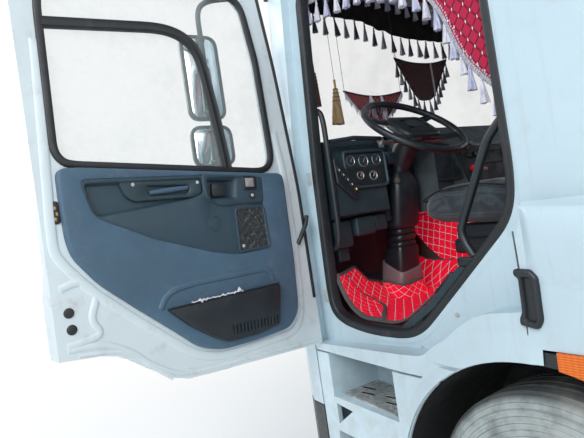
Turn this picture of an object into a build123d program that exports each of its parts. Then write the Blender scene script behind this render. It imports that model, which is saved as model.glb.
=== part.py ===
from build123d import *
import math
import os

# Forward-control flatbed truck: hollow cab with its driver's door open, decorated inside,
# a ladder chassis with steered front wheels and twin rear wheels, and a dropside deck.
#
# Millimetres, +Z up. In the numbers below x = 0 is the front axle with +X to the rear, y = 0 is
# the centre plane with the driver on the -Y side, and z = 0 is the ground. Every piece is moved
# by one shift when it is written, so that the origin is the middle of the underside of the box
# round the whole truck.

os.makedirs("parts", exist_ok=True)

# Running gear
wheelBase = 3660
tyreRadius = 447.5
tyreWidth = 280
tyreBore = 247
axleZ = tyreRadius
frontTyreY = 975
kingpinY = 860
rearTyreY = (755, 1075)
rearMidY = sum(rearTyreY) / 2

# Ladder frame
railX = (-1080, 5230)
railZ = (650, 900)
railHalf = 430
railWeb = 8
railFlange = 75

# Cab: plan outline at the sill, leaned back above it in two stages
cabRear = 385
cabWall = 40
cabHalf = 1150
upperHalf = 1100
cornerHalf = 1108
cornerX = -1060
faceX = -1305
faceY = 905
noseX = -1365
taperX = -500
sillZ = 890
beltZ = 1745
headerZ = 2500
roofZ = 2690
beltLean = 30
headerLean = 130
innerHalf = 1024
sealPlane = 1056

# Doors, hinged on the front pillar
hingeX = -1040
hingeY = -1112
doorOpen = 84
doorGap = 7

# Front end and steps, which stay on the chassis
apronTop = 925
bumperTop = 640
bumperLow = 400
archRadius = 545

# Deck
deckX = (560, 5350)
deckHalf = 1215
deckTop = 1130
boardHeight = 500
boardThick = 28
boardGap = 5.5
boardY = deckHalf + boardGap

# Box round the truck with the door open: its middle in x and y
boxMidX = 2014.215
boxMidY = -352.126


def box(x0, x1, y0, y1, z0, z1):
    return Pos((x0 + x1) / 2, (y0 + y1) / 2, (z0 + z1) / 2) * Box(x1 - x0, y1 - y0, z1 - z0)


def outlineFace(points):
    return Face(Wire.make_polygon(points, close=True))


def sideSheet(points, y0, y1):
    """Outline in x, z drawn out along y."""
    face = outlineFace([(x, y0, z) for x, z in points])
    return Solid.extrude(face, Vector(0, y1 - y0, 0))


def crossSheet(points, x0, x1):
    """Outline in y, z drawn out along x."""
    face = outlineFace([(x0, y, z) for y, z in points])
    return Solid.extrude(face, Vector(x1 - x0, 0, 0))


def planSheet(points, z0, z1):
    """Outline in x, y drawn out along z."""
    face = outlineFace([(x, y, z0) for x, y in points])
    return Solid.extrude(face, Vector(0, 0, z1 - z0))


def rodX(x0, x1, y, z, radius):
    return Pos((x0 + x1) / 2, y, z) * Rot(0, 90, 0) * Cylinder(radius, x1 - x0)


def rodY(x, y0, y1, z, radius):
    return Pos(x, (y0 + y1) / 2, z) * Rot(90, 0, 0) * Cylinder(radius, abs(y1 - y0))


def rodZ(x, y, z0, z1, radius):
    return Pos(x, y, (z0 + z1) / 2) * Cylinder(radius, z1 - z0)


def discY(y0, y1, radius, endRadius=None, x=0, sides=40):
    """Many-sided disc about an axle, from y0 to y1, tapered where its end radius differs."""
    turns = [2 * math.pi * k / sides for k in range(sides)]
    low, high = [
        [(x + size * math.cos(a), y, axleZ + size * math.sin(a)) for a in turns]
        for y, size in ((y0, radius), (y1, endRadius or radius))
    ]
    facets = [outlineFace([low[k - 1], low[k], high[k], high[k - 1]]) for k in range(sides)]
    return Solid(Shell([outlineFace(low), outlineFace(high), *facets]))


def tube(points, radius):
    """Eight-sided bar along straight runs with mitred corners."""
    path = Polyline(*points)
    start = Plane(origin=path @ 0, z_dir=path % 0)
    return sweep(start * RegularPolygon(radius, 8), path=path, transition=Transition.RIGHT)


def flip(shape):
    """The same piece on the other side of the truck."""
    return mirror(shape, about=Plane.XZ)


def group(*shapes):
    """Solids of one node that don't touch each other."""
    solids = [solid for shape in shapes for solid in shape.solids()]
    return Compound(children=solids)


def bothSides(shape):
    return group(shape, flip(shape))


def grow(points, amount):
    """Outline moved outwards by an amount, in x, z."""
    face = outlineFace([(x, z, 0) for x, z in points])
    wire = offset(face, amount=amount, kind=Kind.INTERSECTION).face().outer_wire()
    corners = [edge @ 0 for edge in wire.order_edges()]
    return [(corner.X, corner.Y) for corner in corners]


# Cab shell


def flats(start, middle, end, count):
    """Points along the arc through three points, without its first one."""
    arc = ThreePointArc(start, middle, end)
    return [tuple(arc @ (k / count)) for k in range(1, count + 1)]


def cabPlan(z, lean, inset, half):
    """Plan outline of the cab at a height, moved back by lean and in by inset."""
    corner = min(half, cornerHalf - inset)
    start = (cornerX + lean, corner, z)
    edge = (faceX + lean + inset, faceY - inset * 0.6, z)
    middle = (edge[0] + (start[0] - edge[0]) * 0.3, edge[1] + (start[1] - edge[1]) * 0.72, z)
    nose = (noseX + lean + inset, 0, z)
    right = [(900, half, z), (taperX + lean, half, z), start, *flats(start, middle, edge, 4)]
    right += flats(edge, nose, (edge[0], -edge[1], z), 8)[:4]
    left = [(x, -y, height) for x, y, height in reversed(right[:-1])]
    return outlineFace(right + left)


def cabBody(inset, half, rear, low, roof, shoulder):
    """Closed cab volume: leaning plan outline cut by its side and front profiles."""
    lower = Solid.extrude(cabPlan(low, 0, inset, half), Vector(beltLean, 0, beltZ - low))
    upper = Solid.extrude(
        cabPlan(beltZ, beltLean, inset, half),
        Vector(headerLean - beltLean, 0, headerZ - beltZ),
    )
    top = Solid.extrude(cabPlan(headerZ, headerLean, inset, half), Vector(0, 0, 300))
    body = lower + upper + top
    side = sideSheet(
        [(-1500, low - 5), (rear, low - 5), (rear, roof - 40), (rear - 70, roof), (-820, roof),
         (faceX + headerLean + inset + 40, headerZ + 40), (-1500, headerZ - 60)],
        -1300, 1300,
    )
    return body & side & crossSheet(shoulder, -1600, 900)


def frontProfile(inset, half, roof, low):
    """Cab section across the truck: lower side, shoulder, upper side, roof edge."""
    upper = min(half, upperHalf - inset)
    right = [(half, low - 5), (half, 1323), (upper, 1418), (upper - 8, headerZ), (upper - 50, roof - 70)]
    right += [(upper - 160, roof)]
    return right + [(-y, z) for y, z in reversed(right)]


# Outlines in x, z
doorSkin = [
    (-1034, 925), (-489, 958), (-407, 964), (-350, 985), (-289, 1029), (-230, 1074), (-169, 1109),
    (-118, 1124), (4, 1138), (0, 1400), (-4, 2250), (-16, 2390), (-56, 2430), (-900, 2430),
    (-948, 2396), (-1020, 1640), (-1034, 1560),
]
doorHole = [
    (-962, 1351), (-966, 1188), (-967, 1091), (-945, 1038), (-877, 1007), (-770, 990), (-684, 986),
    (-576, 988), (-512, 999), (-459, 1024), (-418, 1058), (-276, 1187), (-177, 1278), (-83, 1364),
    (-52, 1430), (-44, 1520), (-52, 2250), (-66, 2350), (-110, 2386), (-842, 2386), (-892, 2350),
    (-952, 1640),
]
windowHole = [
    (-69, 1773), (-88, 1741), (-117, 1729), (-844, 1665), (-888, 1683), (-906, 1723), (-896, 2110),
    (-862, 2320), (-830, 2356), (-140, 2356), (-104, 2330), (-84, 2236),
]
trimLine = [
    (-62, 1716), (-60, 1621), (-62, 1496), (-74, 1440), (-142, 1347), (-256, 1242), (-386, 1128),
    (-452, 1066), (-498, 1046), (-555, 1030), (-711, 1026), (-858, 1034), (-904, 1078), (-917, 1119),
    (-928, 1286), (-934, 1618), (-926, 1650), (-850, 1654), (-119, 1718),
]
armrestLine = [
    (-118, 1683), (-149, 1555), (-344, 1456), (-569, 1375), (-667, 1354), (-822, 1359), (-816, 1641),
    (-556, 1669),
]
pocketLine = [
    (-343, 1223), (-816, 1221), (-802, 1064), (-701, 1050), (-565, 1055), (-510, 1084), (-426, 1144),
]
dividerLine = [
    (-84, 2189), (-500, 2216), (-592, 2192), (-642, 2130), (-662, 1985), (-680, 1833), (-692, 1690),
]
screenLine = [(-985, 1771), (985, 1771), (940, 2439), (-940, 2439)]
floorTop = [
    (-1300, 1225), (-1240, 1120), (-1150, 1030), (-1060, 1010), (-760, 1005), (-600, 1005),
    (-430, 1115), (-300, 1230), (345, 1230),
]
tunnelTop = [(-1240, 1384), (-850, 1370), (-700, 1290), (345, 1290)]
tunnelHalf = 300
floorThick = 30

outerSolid = cabBody(0, cabHalf, cabRear, sillZ, roofZ, frontProfile(0, cabHalf, roofZ, sillZ))
innerSolid = cabBody(
    cabWall, innerHalf, cabRear - cabWall, sillZ - 10, roofZ - 35,
    frontProfile(cabWall, innerHalf, roofZ - 35, sillZ - 10),
)
shell = outerSolid - innerSolid


def cabSide():
    """Right-hand side: pillar, doorway with its seal flange, sill, arch top and rear quarter."""
    side = shell & box(-1045, cabRear, 0, 1300, 880, headerZ)
    side -= box(cabRear - cabWall - 1, cabRear + 1, -1, 1000, 800, 2600)
    side -= box(5, cabRear + 1, 0, 1300, 800, 1035)
    side -= rodY(0, 900, 1300, axleZ, archRadius)
    side -= sideSheet(grow(doorSkin, doorGap), sealPlane, 1300)
    side -= sideSheet(doorHole, 900, 1300)
    return side


def cabFront():
    """Front panel with both screen pillars, cut for the windscreen and the grille."""
    panel = shell & box(-1500, -1045, -1300, 1300, 945, headerZ)
    panel -= crossSheet(screenLine, -1500, -1045)
    return panel - box(-1500, -1200, -620, 620, 1010, 1560)


def cabGlass():
    pane = outerSolid & crossSheet(screenLine, -1500, -1046)
    pane -= Pos(7, 0, 0) * outerSolid
    return group(pane, box(362, 368, -700, 700, 1900, 2300))


def cabRearWall():
    wall = box(cabRear - cabWall, cabRear, -1000, 1000, 1035, headerZ)
    wall -= box(300, 400, -700, 700, 1900, 2300)
    for z in (1150, 1350, 1550, 1750):
        wall -= box(cabRear - 10, cabRear + 1, -880, 880, z, z + 60)
    return wall


def cabFloor():
    """Floor sheet with toe board, footwells and seat risers, and the bulkhead ahead of it."""
    under = [(x, z - floorThick) for x, z in reversed(floorTop)]
    sheet = sideSheet(floorTop + under, -innerHalf, innerHalf) & innerSolid
    right = sheet & box(-1500, 400, tunnelHalf, 1100, 800, 1500)
    bulkhead = box(-1252, -1240, -1100, 1100, 1120, 1399) & innerSolid
    return right + flip(right) + bulkhead


def engineTunnel():
    """Cover over the engine between the seats, open below and behind."""
    outside = sideSheet(tunnelTop + [(345, 1000), (-1240, 1000)], -tunnelHalf, tunnelHalf)
    hollow = [(-1210, 1354), (-862, 1340), (-712, 1260), (400, 1260), (400, 990), (-1210, 990)]
    return outside - sideSheet(hollow, -tunnelHalf + 30, tunnelHalf - 30)


grilleSlats = [(1110, 36), (1190, 36), (1270, 36), (1350, 36), (1430, 36)]


def grille():
    """Frame with sloping slats across it and three uprights behind them."""
    frame = box(-1362, -1322, -619, 619, 1011, 1559) - box(-1400, -1300, -590, 590, 1040, 1530)
    for z, height in grilleSlats:
        slat = [(-1358, z), (-1330, z + 12), (-1330, z + height), (-1358, z + height - 12)]
        frame += sideSheet(slat, -595, 595)
    for y in (-300, 0, 300):
        frame += box(-1344, -1324, y - 12, y + 12, 1035, 1535)
    return frame


# Inside the cab

wheelTilt = 38
wheelPlace = Pos(-831, -550, 1795) * Rot(0, wheelTilt, 0)
rimRadius = 234
rimTube = 15


def steeringWheel():
    """Rim of eight flats round its section, four spokes and a wide hub."""
    path = RegularPolygon(rimRadius, 32).face().outer_wire()
    start = Plane(origin=path @ 0, z_dir=path % 0)
    rim = sweep(start * RegularPolygon(rimTube, 8), path=path, transition=Transition.RIGHT)
    reach = rimRadius - 8
    spokes = box(-reach, reach, -24, 24, -22, -4) + box(-24, 24, -reach, reach, -22, -4)
    hub = box(-95, 95, -80, 80, -34, 8)
    return wheelPlace * (rim + spokes + hub)


# z, half width in x, half width in y of the column's covers, from the floor up
columnCovers = [
    (1000, 76, 86), (1110, 66, 78), (1200, 62, 74), (1250, 60, 72), (1258, 50, 58), (1345, 50, 58),
    (1352, 60, 72), (1500, 60, 72), (1640, 48, 62),
]


def steeringColumn():
    """Upright column in stepped covers with a leaning head under the wheel."""
    foot = (-1045, -565)
    top = (-955, -552)
    sections = []
    for z, halfX, halfY in columnCovers:
        share = (z - 1000) / 640
        x = foot[0] + (top[0] - foot[0]) * share
        y = foot[1] + (top[1] - foot[1]) * share
        ring = [(x - halfX, y - halfY), (x + halfX, y - halfY), (x + halfX, y + halfY), (x - halfX, y + halfY)]
        sections.append(outlineFace([(a, b, z) for a, b in ring]))
    column = loft(sections, ruled=True)
    head = wheelPlace * box(-52, 46, -58, 58, -190, -41)
    under = sideSheet(floorTop + [(345, 800), (-1300, 800)], -900, 900)
    return column + head - under


def dashboard():
    """Instrument side, centre stack turned to the driver, and shelf on the far side."""
    plan = [
        (-1290, -988), (-905, -988), (-905, -700), (-1000, -650), (-1000, -470), (-870, -400),
        (-853, -306), (-800, -260), (-800, 240), (-930, 340), (-930, 988), (-1290, 988),
    ]
    side = [
        (-1290, 1700), (-1040, 1770), (-960, 1765), (-905, 1690), (-870, 1560), (-905, 1440),
        (-1100, 1400), (-1290, 1400),
    ]
    stack = [
        (-1200, 1400), (-1200, 1800), (-960, 1805), (-850, 1700), (-800, 1500), (-860, 1400),
    ]
    body = planSheet(plan, 1300, 1900)
    low = body & sideSheet(side, -1010, 1010)
    centre = body & sideSheet(stack, -470, 330)
    whole = (low + centre) & innerSolid
    return whole - box(-1120, -870, -660, -450, 1390, 1850)


def seat(y0, y1):
    cushion = [(-612, 1385), (-600, 1360), (-100, 1330), (-100, 1430), (-560, 1475), (-604, 1450)]
    back = [(-94, 1400), (20, 1400), (150, 2060), (130, 2100), (80, 2100), (-60, 1560)]
    mid = (y0 + y1) / 2
    rest = [(88, 2099), (142, 2076), (180, 2250), (165, 2285), (125, 2285)]
    base = [(-540, 1230.5), (-60, 1230.5), (-100, 1326), (-500, 1340)]
    return group(
        sideSheet(cushion, y0, y1),
        sideSheet(back, y0 + 5, y1 - 5) + sideSheet(rest, mid - 140, mid + 140),
        sideSheet(base, y0 + 60, y1 - 60) + box(-92, 10, y0 + 90, y1 - 90, 1231, 1398),
    )


def floorMat():
    """Quilted mat over the driver's toe board, footwell and riser."""
    line = [(-1180, 1062.5), (-1149, 1031.8), (-1060, 1011.6), (-760, 1006.6), (-602, 1006.6), (-438, 1111.5)]
    over = [(-436, 1125.6), (-606, 1018.6), (-759, 1018.6), (-1058, 1023.6), (-1143, 1043), (-1172, 1071)]
    mat = sideSheet(line + over, -1008, -tunnelHalf - 4) - box(-1200, -1145, -1010, -985, 1000, 1200)
    return mat - rodZ(-1045, -565, 900, 1400, 128)


def grabHandles():
    """Bent bars on the front pillar and on the rear pillar of the driver's doorway."""
    front = tube([(-1028, -1004, 1905), (-975, -1004, 1905), (-955, -1004, 1885), (-958, -1004, 1330),
                  (-978, -1004, 1305), (-1028, -1004, 1300)], 11)
    rear = tube([(-30, -1010.8, 1700), (-80, -1010.8, 1676), (-322, -1010.8, 1390),
                 (-328, -1010.8, 1350), (-268, -1010.8, 1250)], 10.5)
    foot = box(-300, -240, -1023.5, -1000.5, 1231, 1262)
    pads = box(-34, 0, -1020, -1000.5, 1670, 1730)
    blocks = [box(-1040, -1016, -1018, -985, z - 25, z + 25) for z in (1300, 1905)]
    pillar = front + blocks[0] + blocks[1]
    return group(pillar, flip(pillar), rear + foot + pads)


# Hangings, each a plain closed sheet

def frontValance():
    """Curtain along the top of the windscreen, deeper in the middle, on its rail."""
    line = [
        (-880, 2372), (-480, 2360), (-100, 2318), (0, 2290), (100, 2318), (480, 2360), (880, 2372),
        (880, 2452), (-880, 2452),
    ]
    return crossSheet(line, -1068, -1061) + box(-1071, -1058, -900, 900, 2452, 2470)


# y, z of each pennant's corners, and its x
pennants = [
    ([(-395, 2180), (0, 2186), (-120, 2030), (-170, 1975), (-290, 1975), (-310, 2030)], -1040),
    ([(-746, 2007), (-365, 2009), (-470, 1880), (-500, 1850), (-600, 1850), (-640, 1880)], -1050),
]
# y, top z, bottom z and widest half width of each little broom
brooms = [(-930, 2094, 1935, 24), (-815, 2018, 1851, 30)]


def pennantSheets():
    """Pennants on their strings, hung from the rail."""
    pieces = []
    for corners, x in pennants:
        sheet = crossSheet(corners, x - 3, x + 3)
        for y in (corners[0][0] + 4, corners[1][0] - 4):
            sheet += box(x - 2, x + 2, y - 2, y + 2, corners[0][1] - 20, 2481)
        pieces.append(sheet)
    return group(*pieces)


def littleBrooms():
    pieces = []
    for y, top, low, half in brooms:
        fan = [(-half, 0), (half, 0), (half * 0.4, top - low - 40), (-half * 0.4, top - low - 40)]
        body = crossSheet([(y + a, low + b) for a, b in fan], -1032 - half * 0.4, -1032 + half * 0.4)
        stick = box(-1036, -1028, y - 4, y + 4, top - 45, top)
        string = box(-1033.5, -1030.5, y - 1.5, y + 1.5, top - 5, 2481)
        pieces.append(body + stick + string)
    return group(*pieces)


def mirrors():
    """Main and wide-angle heads on a bent arm off each screen pillar."""
    arm = tube([(-1100, 1040, 2450), (-1205, 1300, 2450), (-1232, 1345, 2420), (-1236, 1345, 1700),
                (-1226, 1310, 1665), (-1180, 1085, 1640)], 12)
    face = [(1262, 1935), (1440, 1935), (1440, 2280), (1400, 2312), (1302, 2312), (1262, 2280)]
    main = crossSheet(face, -1300, -1248)
    wide = box(-1296, -1248, 1250, 1450, 1730, 1915)
    right = (arm - outerSolid) + main + wide
    return bothSides(right)


# Doors


def doorPieces():
    """Driver's door drawn shut: skin and inner frame, trim, glass and window rubber."""
    frame = outerSolid & sideSheet(doorSkin, -1300, -sealPlane - 6)
    frame -= sideSheet(windowHole, -1300, -1000)
    trim = sideSheet(trimLine, -sealPlane - 6, -1034)
    trim -= sideSheet(armrestLine, -1040, -1020)
    trim += sideSheet(grow(pocketLine, 14), -1036, -1027)
    trim -= sideSheet(pocketLine, -1050, -1020)
    grip = [(-400, 1655), (-300, 1640), (-290, 1560), (-560, 1590), (-560, 1655)]
    trim += sideSheet(grip, -1042, -1034) - box(-520, -360, -1045, -1030, 1600, 1640)
    pane = sideSheet(windowHole, -1081, -1076)
    inner = grow(windowHole, -16)
    rubber = sideSheet(windowHole, -1075.5, -1063) - sideSheet(inner, -1080, -1060)
    bar = dividerLine + [(x + 22, z - 22) for x, z in reversed(dividerLine)]
    divider = sideSheet(bar, -1075.5, -1063) & sideSheet(windowHole, -1080, -1060)
    return {"shell": frame, "trim": trim, "glass": pane, "window_rubber": rubber + divider}


# Running gear


def tyre(y):
    """Flat tread, sloped shoulders and sides, turned as one ring."""
    half = tyreWidth / 2
    tread = half - 30
    ring = discY(y - tread, y + tread, tyreRadius)
    ring += discY(y - half, y - tread, tyreRadius - 62, tyreRadius)
    ring += discY(y + tread, y + half, tyreRadius, tyreRadius - 62)
    return ring - discY(y - half - 1, y + half + 1, tyreBore)


def frontRim(y):
    """Well and dished disc with the hub standing out of it, bored for the spindle."""
    rim = discY(y - 128, y + 128, tyreBore - 1, sides=36)
    rim -= discY(y + 45, y + 129, 150, 228, sides=36)
    rim -= discY(y - 129, y + 15, 228, sides=36)
    rim += discY(y + 20, y + 95, 90, sides=20)
    return rim - discY(y - 10, y + 60, 37, sides=16)


def rearRim():
    """Two wells back to back on one hub, bored for the half shaft's tube."""
    low, high = rearTyreY
    mid = rearMidY
    rim = discY(low - 128, high + 128, tyreBore - 1, x=wheelBase, sides=36)
    rim -= discY(mid + 14, high + 129, 200, 228, x=wheelBase, sides=36)
    rim -= discY(low - 129, mid - 14, 228, x=wheelBase, sides=36)
    rim += discY(mid, mid + 120, 100, x=wheelBase, sides=20)
    return rim - discY(mid - 20, mid + 70, 42, x=wheelBase, sides=16)


def knuckle():
    """Yoke round the axle's end, brake drum, spindle and steering arm."""
    yoke = box(-45, 45, 815, 925, 330, 502) - box(-50, 50, 800, 912, 364, 470)
    drum = discY(925, 975, 180, sides=32)
    spindle = discY(970, 1030, 35, sides=16)
    arm = box(-200, -40, 850, 880, 474, 498)
    return yoke + drum + spindle + arm


def leafSpring(x, y, topZ, lowZ, reach):
    """Bowed stack of three leaves, each shorter than the one above, with its two hangers."""
    stack = None
    for row, share in enumerate((1.0, 0.7, 0.4)):
        span = reach * share
        rise = (topZ - lowZ) * share**2
        high = lowZ + 44 - row * 14
        under = ThreePointArc((x - span, y, high + rise), (x, y, high), (x + span, y, high + rise))
        over = ThreePointArc((x + span, y, high + rise + 14), (x, y, high + 14), (x - span, y, high + rise + 14))
        ends = [Line(under @ 1, over @ 0), Line(over @ 1, under @ 0)]
        leaf = Solid.extrude(Face(Wire([under, ends[0], over, ends[1]])), Vector(0, 70, 0))
        stack = leaf if stack is None else stack + leaf
    for side in (-1, 1):
        end = x + side * (reach - 20)
        stack += box(end - 22, end + 22, y, y + 70, topZ + 30, railZ[0] - 0.5)
    return stack


def frontAxle():
    """Dropped beam with a kingpin boss at each end, under two leaf springs."""
    beam = crossSheet(
        [(-890, 372), (-890, 462), (-810, 462), (-780, 420), (-620, 410), (-560, 380), (560, 380),
         (620, 410), (780, 420), (810, 462), (890, 462), (890, 372), (800, 372), (760, 350),
         (560, 310), (-560, 310), (-760, 350), (-800, 372)],
        -36, 36,
    )
    for y in (395, -465):
        beam += box(-60, 60, y, y + 70, 378, 448)
        beam += leafSpring(0, y, 580, 430, 700)
    return beam


def rearAxle():
    """Tube, banjo housing, brake drums and leaf springs."""
    axle = box(wheelBase - 70, wheelBase + 70, -620, 620, axleZ - 70, axleZ + 70)
    axle += rodX(wheelBase - 100, wheelBase + 100, 0, axleZ, 185)
    axle += rodX(wheelBase - 270, wheelBase + 170, 0, axleZ, 95)
    for side in (-1, 1):
        axle += discY(side * 600, side * 880, 178, x=wheelBase, sides=32)
        axle += discY(side * 870, side * 980, 40, x=wheelBase, sides=16)
    for y in (395, -465):
        axle += box(wheelBase - 70, wheelBase + 70, y, y + 70, axleZ, 532)
        axle += leafSpring(wheelBase, y, 590, 515, 780)
    return axle


def driveTrain():
    """Engine, gearbox and propeller shaft as plain masses."""
    engine = box(-850, 150, -245, 245, 700, 1225)
    gearbox = box(152, 460, -150, 150, 560, 880)
    shaftLength = wheelBase - 290 - 462
    drop = math.degrees(math.atan2(600 - axleZ, shaftLength))
    shaft = Pos(462 + shaftLength / 2, 0, (600 + axleZ) / 2) * Rot(0, 90 + drop, 0) * Cylinder(42, shaftLength)
    return group(engine, gearbox, shaft)


# Chassis


def chassisRails():
    outside = box(*railX, railHalf - railFlange, railHalf, *railZ)
    hollow = box(railX[0] - 1, railX[1] + 1, 0, railHalf - railWeb, railZ[0] + 9, railZ[1] - 9)
    return bothSides(outside - hollow)


towPlateX = (5205, 5225)
towSpacing = (160, 100)
towHole = 10.5
towZ = 775


def crossmembers():
    """Bars between the rails, the drilled rear plate and the cab's pivot brackets."""
    reach = railHalf - railWeb - 0.5
    bars = [box(x - 22, x + 22, -reach, reach, 740, 870) for x in (-1040, 560, 1500, 2500, 4500)]
    plate = box(*towPlateX, -reach, reach, railZ[0] + 12, railZ[1] - 12)
    for y in (-towSpacing[0] / 2, towSpacing[0] / 2):
        for z in (towZ - towSpacing[1] / 2, towZ + towSpacing[1] / 2):
            plate -= rodX(towPlateX[0] - 5, towPlateX[1] + 5, y, z, towHole)
    bracket = sideSheet([(-1085, 740), (-1085, 870), (-1240, 880), (-1240, 840)], 360, 400)
    return group(*bars, plate, bracket, flip(bracket))


# Front end and steps


def bodyEdge(points, z0, z1):
    """Cab's own lower outline in plan, cut to a stretch of x, y."""
    prism = Solid.extrude(cabPlan(z0, 10, 0, cabHalf), Vector(0, 0, z1 - z0))
    return prism & planSheet(points, z0, z1)


def apron(z0, z1, thick):
    """Skirt that follows the cab's front and corners."""
    outside = Solid.extrude(cabPlan(z0, 10, 0, cornerHalf), Vector(0, 0, z1 - z0))
    inside = Solid.extrude(cabPlan(z0, 10, thick, cornerHalf - thick), Vector(0, 0, z1 - z0))
    return (outside - inside) & box(-1500, -1056, -1300, 1300, z0, z1)


def bumper():
    """Wrap-round bumper with fog lamp recesses and an air slot."""
    bar = apron(bumperLow, bumperTop, 60)
    for y in (-780, 780):
        bar -= box(-1500, -1100, y - 90, y + 90, 470, 570)
    return bar - box(-1500, -1100, -420, 420, 460, 580)


def lampBox(side, extra):
    y = side * 790
    return box(-1420, -1150, y - 150 - extra, y + 150 + extra, 700 - extra, 860 + extra)


def frontApron():
    """Panel between bumper and cab, cut for the headlamps and a lower grille."""
    panel = apron(bumperTop + 6, apronTop, 45)
    panel -= lampBox(1, 0) + lampBox(-1, 0)
    panel -= box(-1500, -1100, -480, 480, 700, 850)
    for z in (740, 790):
        panel += apron(z, z + 14, 30) & box(-1500, -1100, -490, 490, 600, 900)
    return panel


def headlamps():
    lens = apron(bumperTop + 6, apronTop, 40)
    return group(lens & lampBox(1, -2), lens & lampBox(-1, -2))


# x, y of the step plate, and the well round it
plateLine = [(-948, 1074), (-948, 880), (-724, 915), (-566, 1122)]
wellLine = [(-958, 1200), (-958, 866), (-716, 902), (-548, 1124), (-548, 1200)]
lowerStepLine = [(-958, 1200), (-958, 900), (-690, 930), (-600, 1050), (-600, 1200)]


def stepHousing():
    """Outer panel with the step well, the lower step and the front half of the wheel arch."""
    footprint = [(-1046, 1200), (-1046, 850), (-700, 886), (-500, 1080), (-300, 1080), (-300, 1200)]
    block = bodyEdge(footprint, bumperLow, sillZ - 8)
    block -= rodY(0, 900, 1300, axleZ, archRadius) + box(-440, 0, 1000, 1300, 300, 640)
    block -= planSheet(wellLine, 702, 900)
    block -= planSheet(lowerStepLine, 430, 560)
    under = [(-1020, 1094), (-1020, 880), (-740, 900), (-600, 1098)]
    block -= planSheet(under, 572, 690)
    block -= planSheet(under, 390, 418)
    notch = sideSheet([(-948, 676), (-835, 668), (-948, 590)], 1000, 1200)
    return block - notch


def stepPlate():
    """Galvanised tread plate with two pairs of slots, sitting in the well."""
    plate = planSheet(plateLine, 702.5, 708)
    for x, y in ((-890, 940), (-860, 990), (-735, 985), (-705, 1035)):
        plate -= Pos(x, y, 705) * Rot(0, 0, -14) * Box(52, 18, 20)
    lower = planSheet([(-950, 1096), (-950, 910), (-700, 940), (-612, 1060), (-612, 1120)], 430.5, 436)
    return group(plate, lower)


def archBand(x, inner, thick, y0, y1, low, x0, x1):
    """Stretch of a mudguard's band about an axle."""
    ring = discY(y0, y1, inner + thick, x=x) - discY(y0 - 5, y1 + 5, inner, x=x)
    return ring & box(x0, x1, y0 - 10, y1 + 10, low, 1300)


def mudguards():
    """Front arch liners with the arches' rear halves, and a guard over each rear pair."""
    front = archBand(0, archRadius, 14, 640, 1146, 560, 8, 700)
    front += archBand(0, archRadius, 14, 640, 1000, 640, -700, 8)
    front += box(-600, 600, 628, 640, 780, 1100) & discY(600, 700, archRadius + 14)
    front += archBand(0, archRadius, 38, 1122, 1146, 560, 8, 700)
    front += box(500, 560, 440, 900, 700, 730) & box(400, 700, 440, 870, 700, 730)
    rear = archBand(wheelBase, 515, 10, 625, 1215, 620, wheelBase - 600, wheelBase + 600)
    rear += archBand(wheelBase, 515, 30, 1205, 1215, 620, wheelBase - 600, wheelBase + 600)
    return group(front, flip(front), rear, flip(rear))


def underrunBar():
    bar = box(5240, 5330, -1150, 1150, 480, 600)
    bar -= box(5200, 5318, -1200, 1200, 492, 588)
    for y in (-300, 300):
        bar += box(5270, 5318, y - 30, y + 30, 492, 1069)
    return bar


def sideGuards():
    guard = box(1230, 2980, 1150, 1180, 560, 650) + box(1230, 2980, 1150, 1180, 760, 850)
    for x in (1300, 2850):
        guard += box(x - 22, x + 22, 1110, 1150, 560, 1069)
    return bothSides(guard)


def fuelTank():
    """Ribbed tank on the right with its filler cap and two straps."""
    tank = box(1300, 2100, 480, 1060, 480, 940)
    tank = chamfer(tank.edges().filter_by(Axis.X), 60)
    for x in (1460, 1920):
        strap = box(x, x + 50, 474, 1066, 474, 946)
        tank += chamfer(strap.edges().filter_by(Axis.X), 63)
    tank += rodZ(1690, 900, 935, 985, 45)
    return tank + box(1480, 1500, railHalf, 490, 700, 880) + box(1940, 1960, railHalf, 490, 700, 880)


def batteryBox():
    """Box on the left with a lidded top and a step in its face, beside two air cylinders."""
    case = box(1300, 1900, -1060, -520, 560, 880)
    lid = box(1290, 1910, -1070, -510, 880.5, 920)
    carrier = box(1400, 1420, -520, -railHalf, 700, 800) + box(1780, 1800, -520, -railHalf, 700, 800)
    air = [rodX(2060, 2760, y, 760, 110) for y in (-640, -910)]
    hangers = box(2200, 2220, -900, -railHalf, 740, 780) + box(2600, 2620, -900, -railHalf, 740, 780)
    return group(case + lid + carrier, air[0] + air[1] + hangers)


def exhaust():
    """Silencer drum under the left rail's front with its tail pipe."""
    drum = rodY(760, -980, -470, 700, 150)
    pipe = tube([(760, -520, 620), (760, -420, 560), (640, -240, 540), (470, -200, 540)], 38)
    return drum + pipe


# Deck


def deckFloor():
    """Faced boards between the outer rails, with their long joints grooved below."""
    half = deckHalf - 35
    floor = box(deckX[0] + 10, deckX[1] - 24, -half, half, deckTop - 40, deckTop)
    for y in (-600, 0, 600):
        floor -= box(deckX[0], deckX[1], y - 4, y + 4, deckTop - 41, deckTop - 34)
    return floor


def deckFrame():
    """Two long bearers on the rails, cross bearers, and the outer rail all round."""
    frame = box(deckX[0], deckX[1], 352, 428, 900.5, 1000) + box(deckX[0], deckX[1], -428, -352, 900.5, 1000)
    for x in range(640, 5340, 460):
        frame += box(x - 25, x + 25, 33 - deckHalf, deckHalf - 33, 1000, deckTop - 40)
    for side in (-1, 1):
        low, high = sorted((side * (deckHalf - 33), side * deckHalf))
        frame += box(deckX[0], deckX[1], low, high, 1010, deckTop - 2)
    frame += box(deckX[1] - 22, deckX[1], 33 - deckHalf, deckHalf - 33, 1010, deckTop - 2)
    return frame


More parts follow.
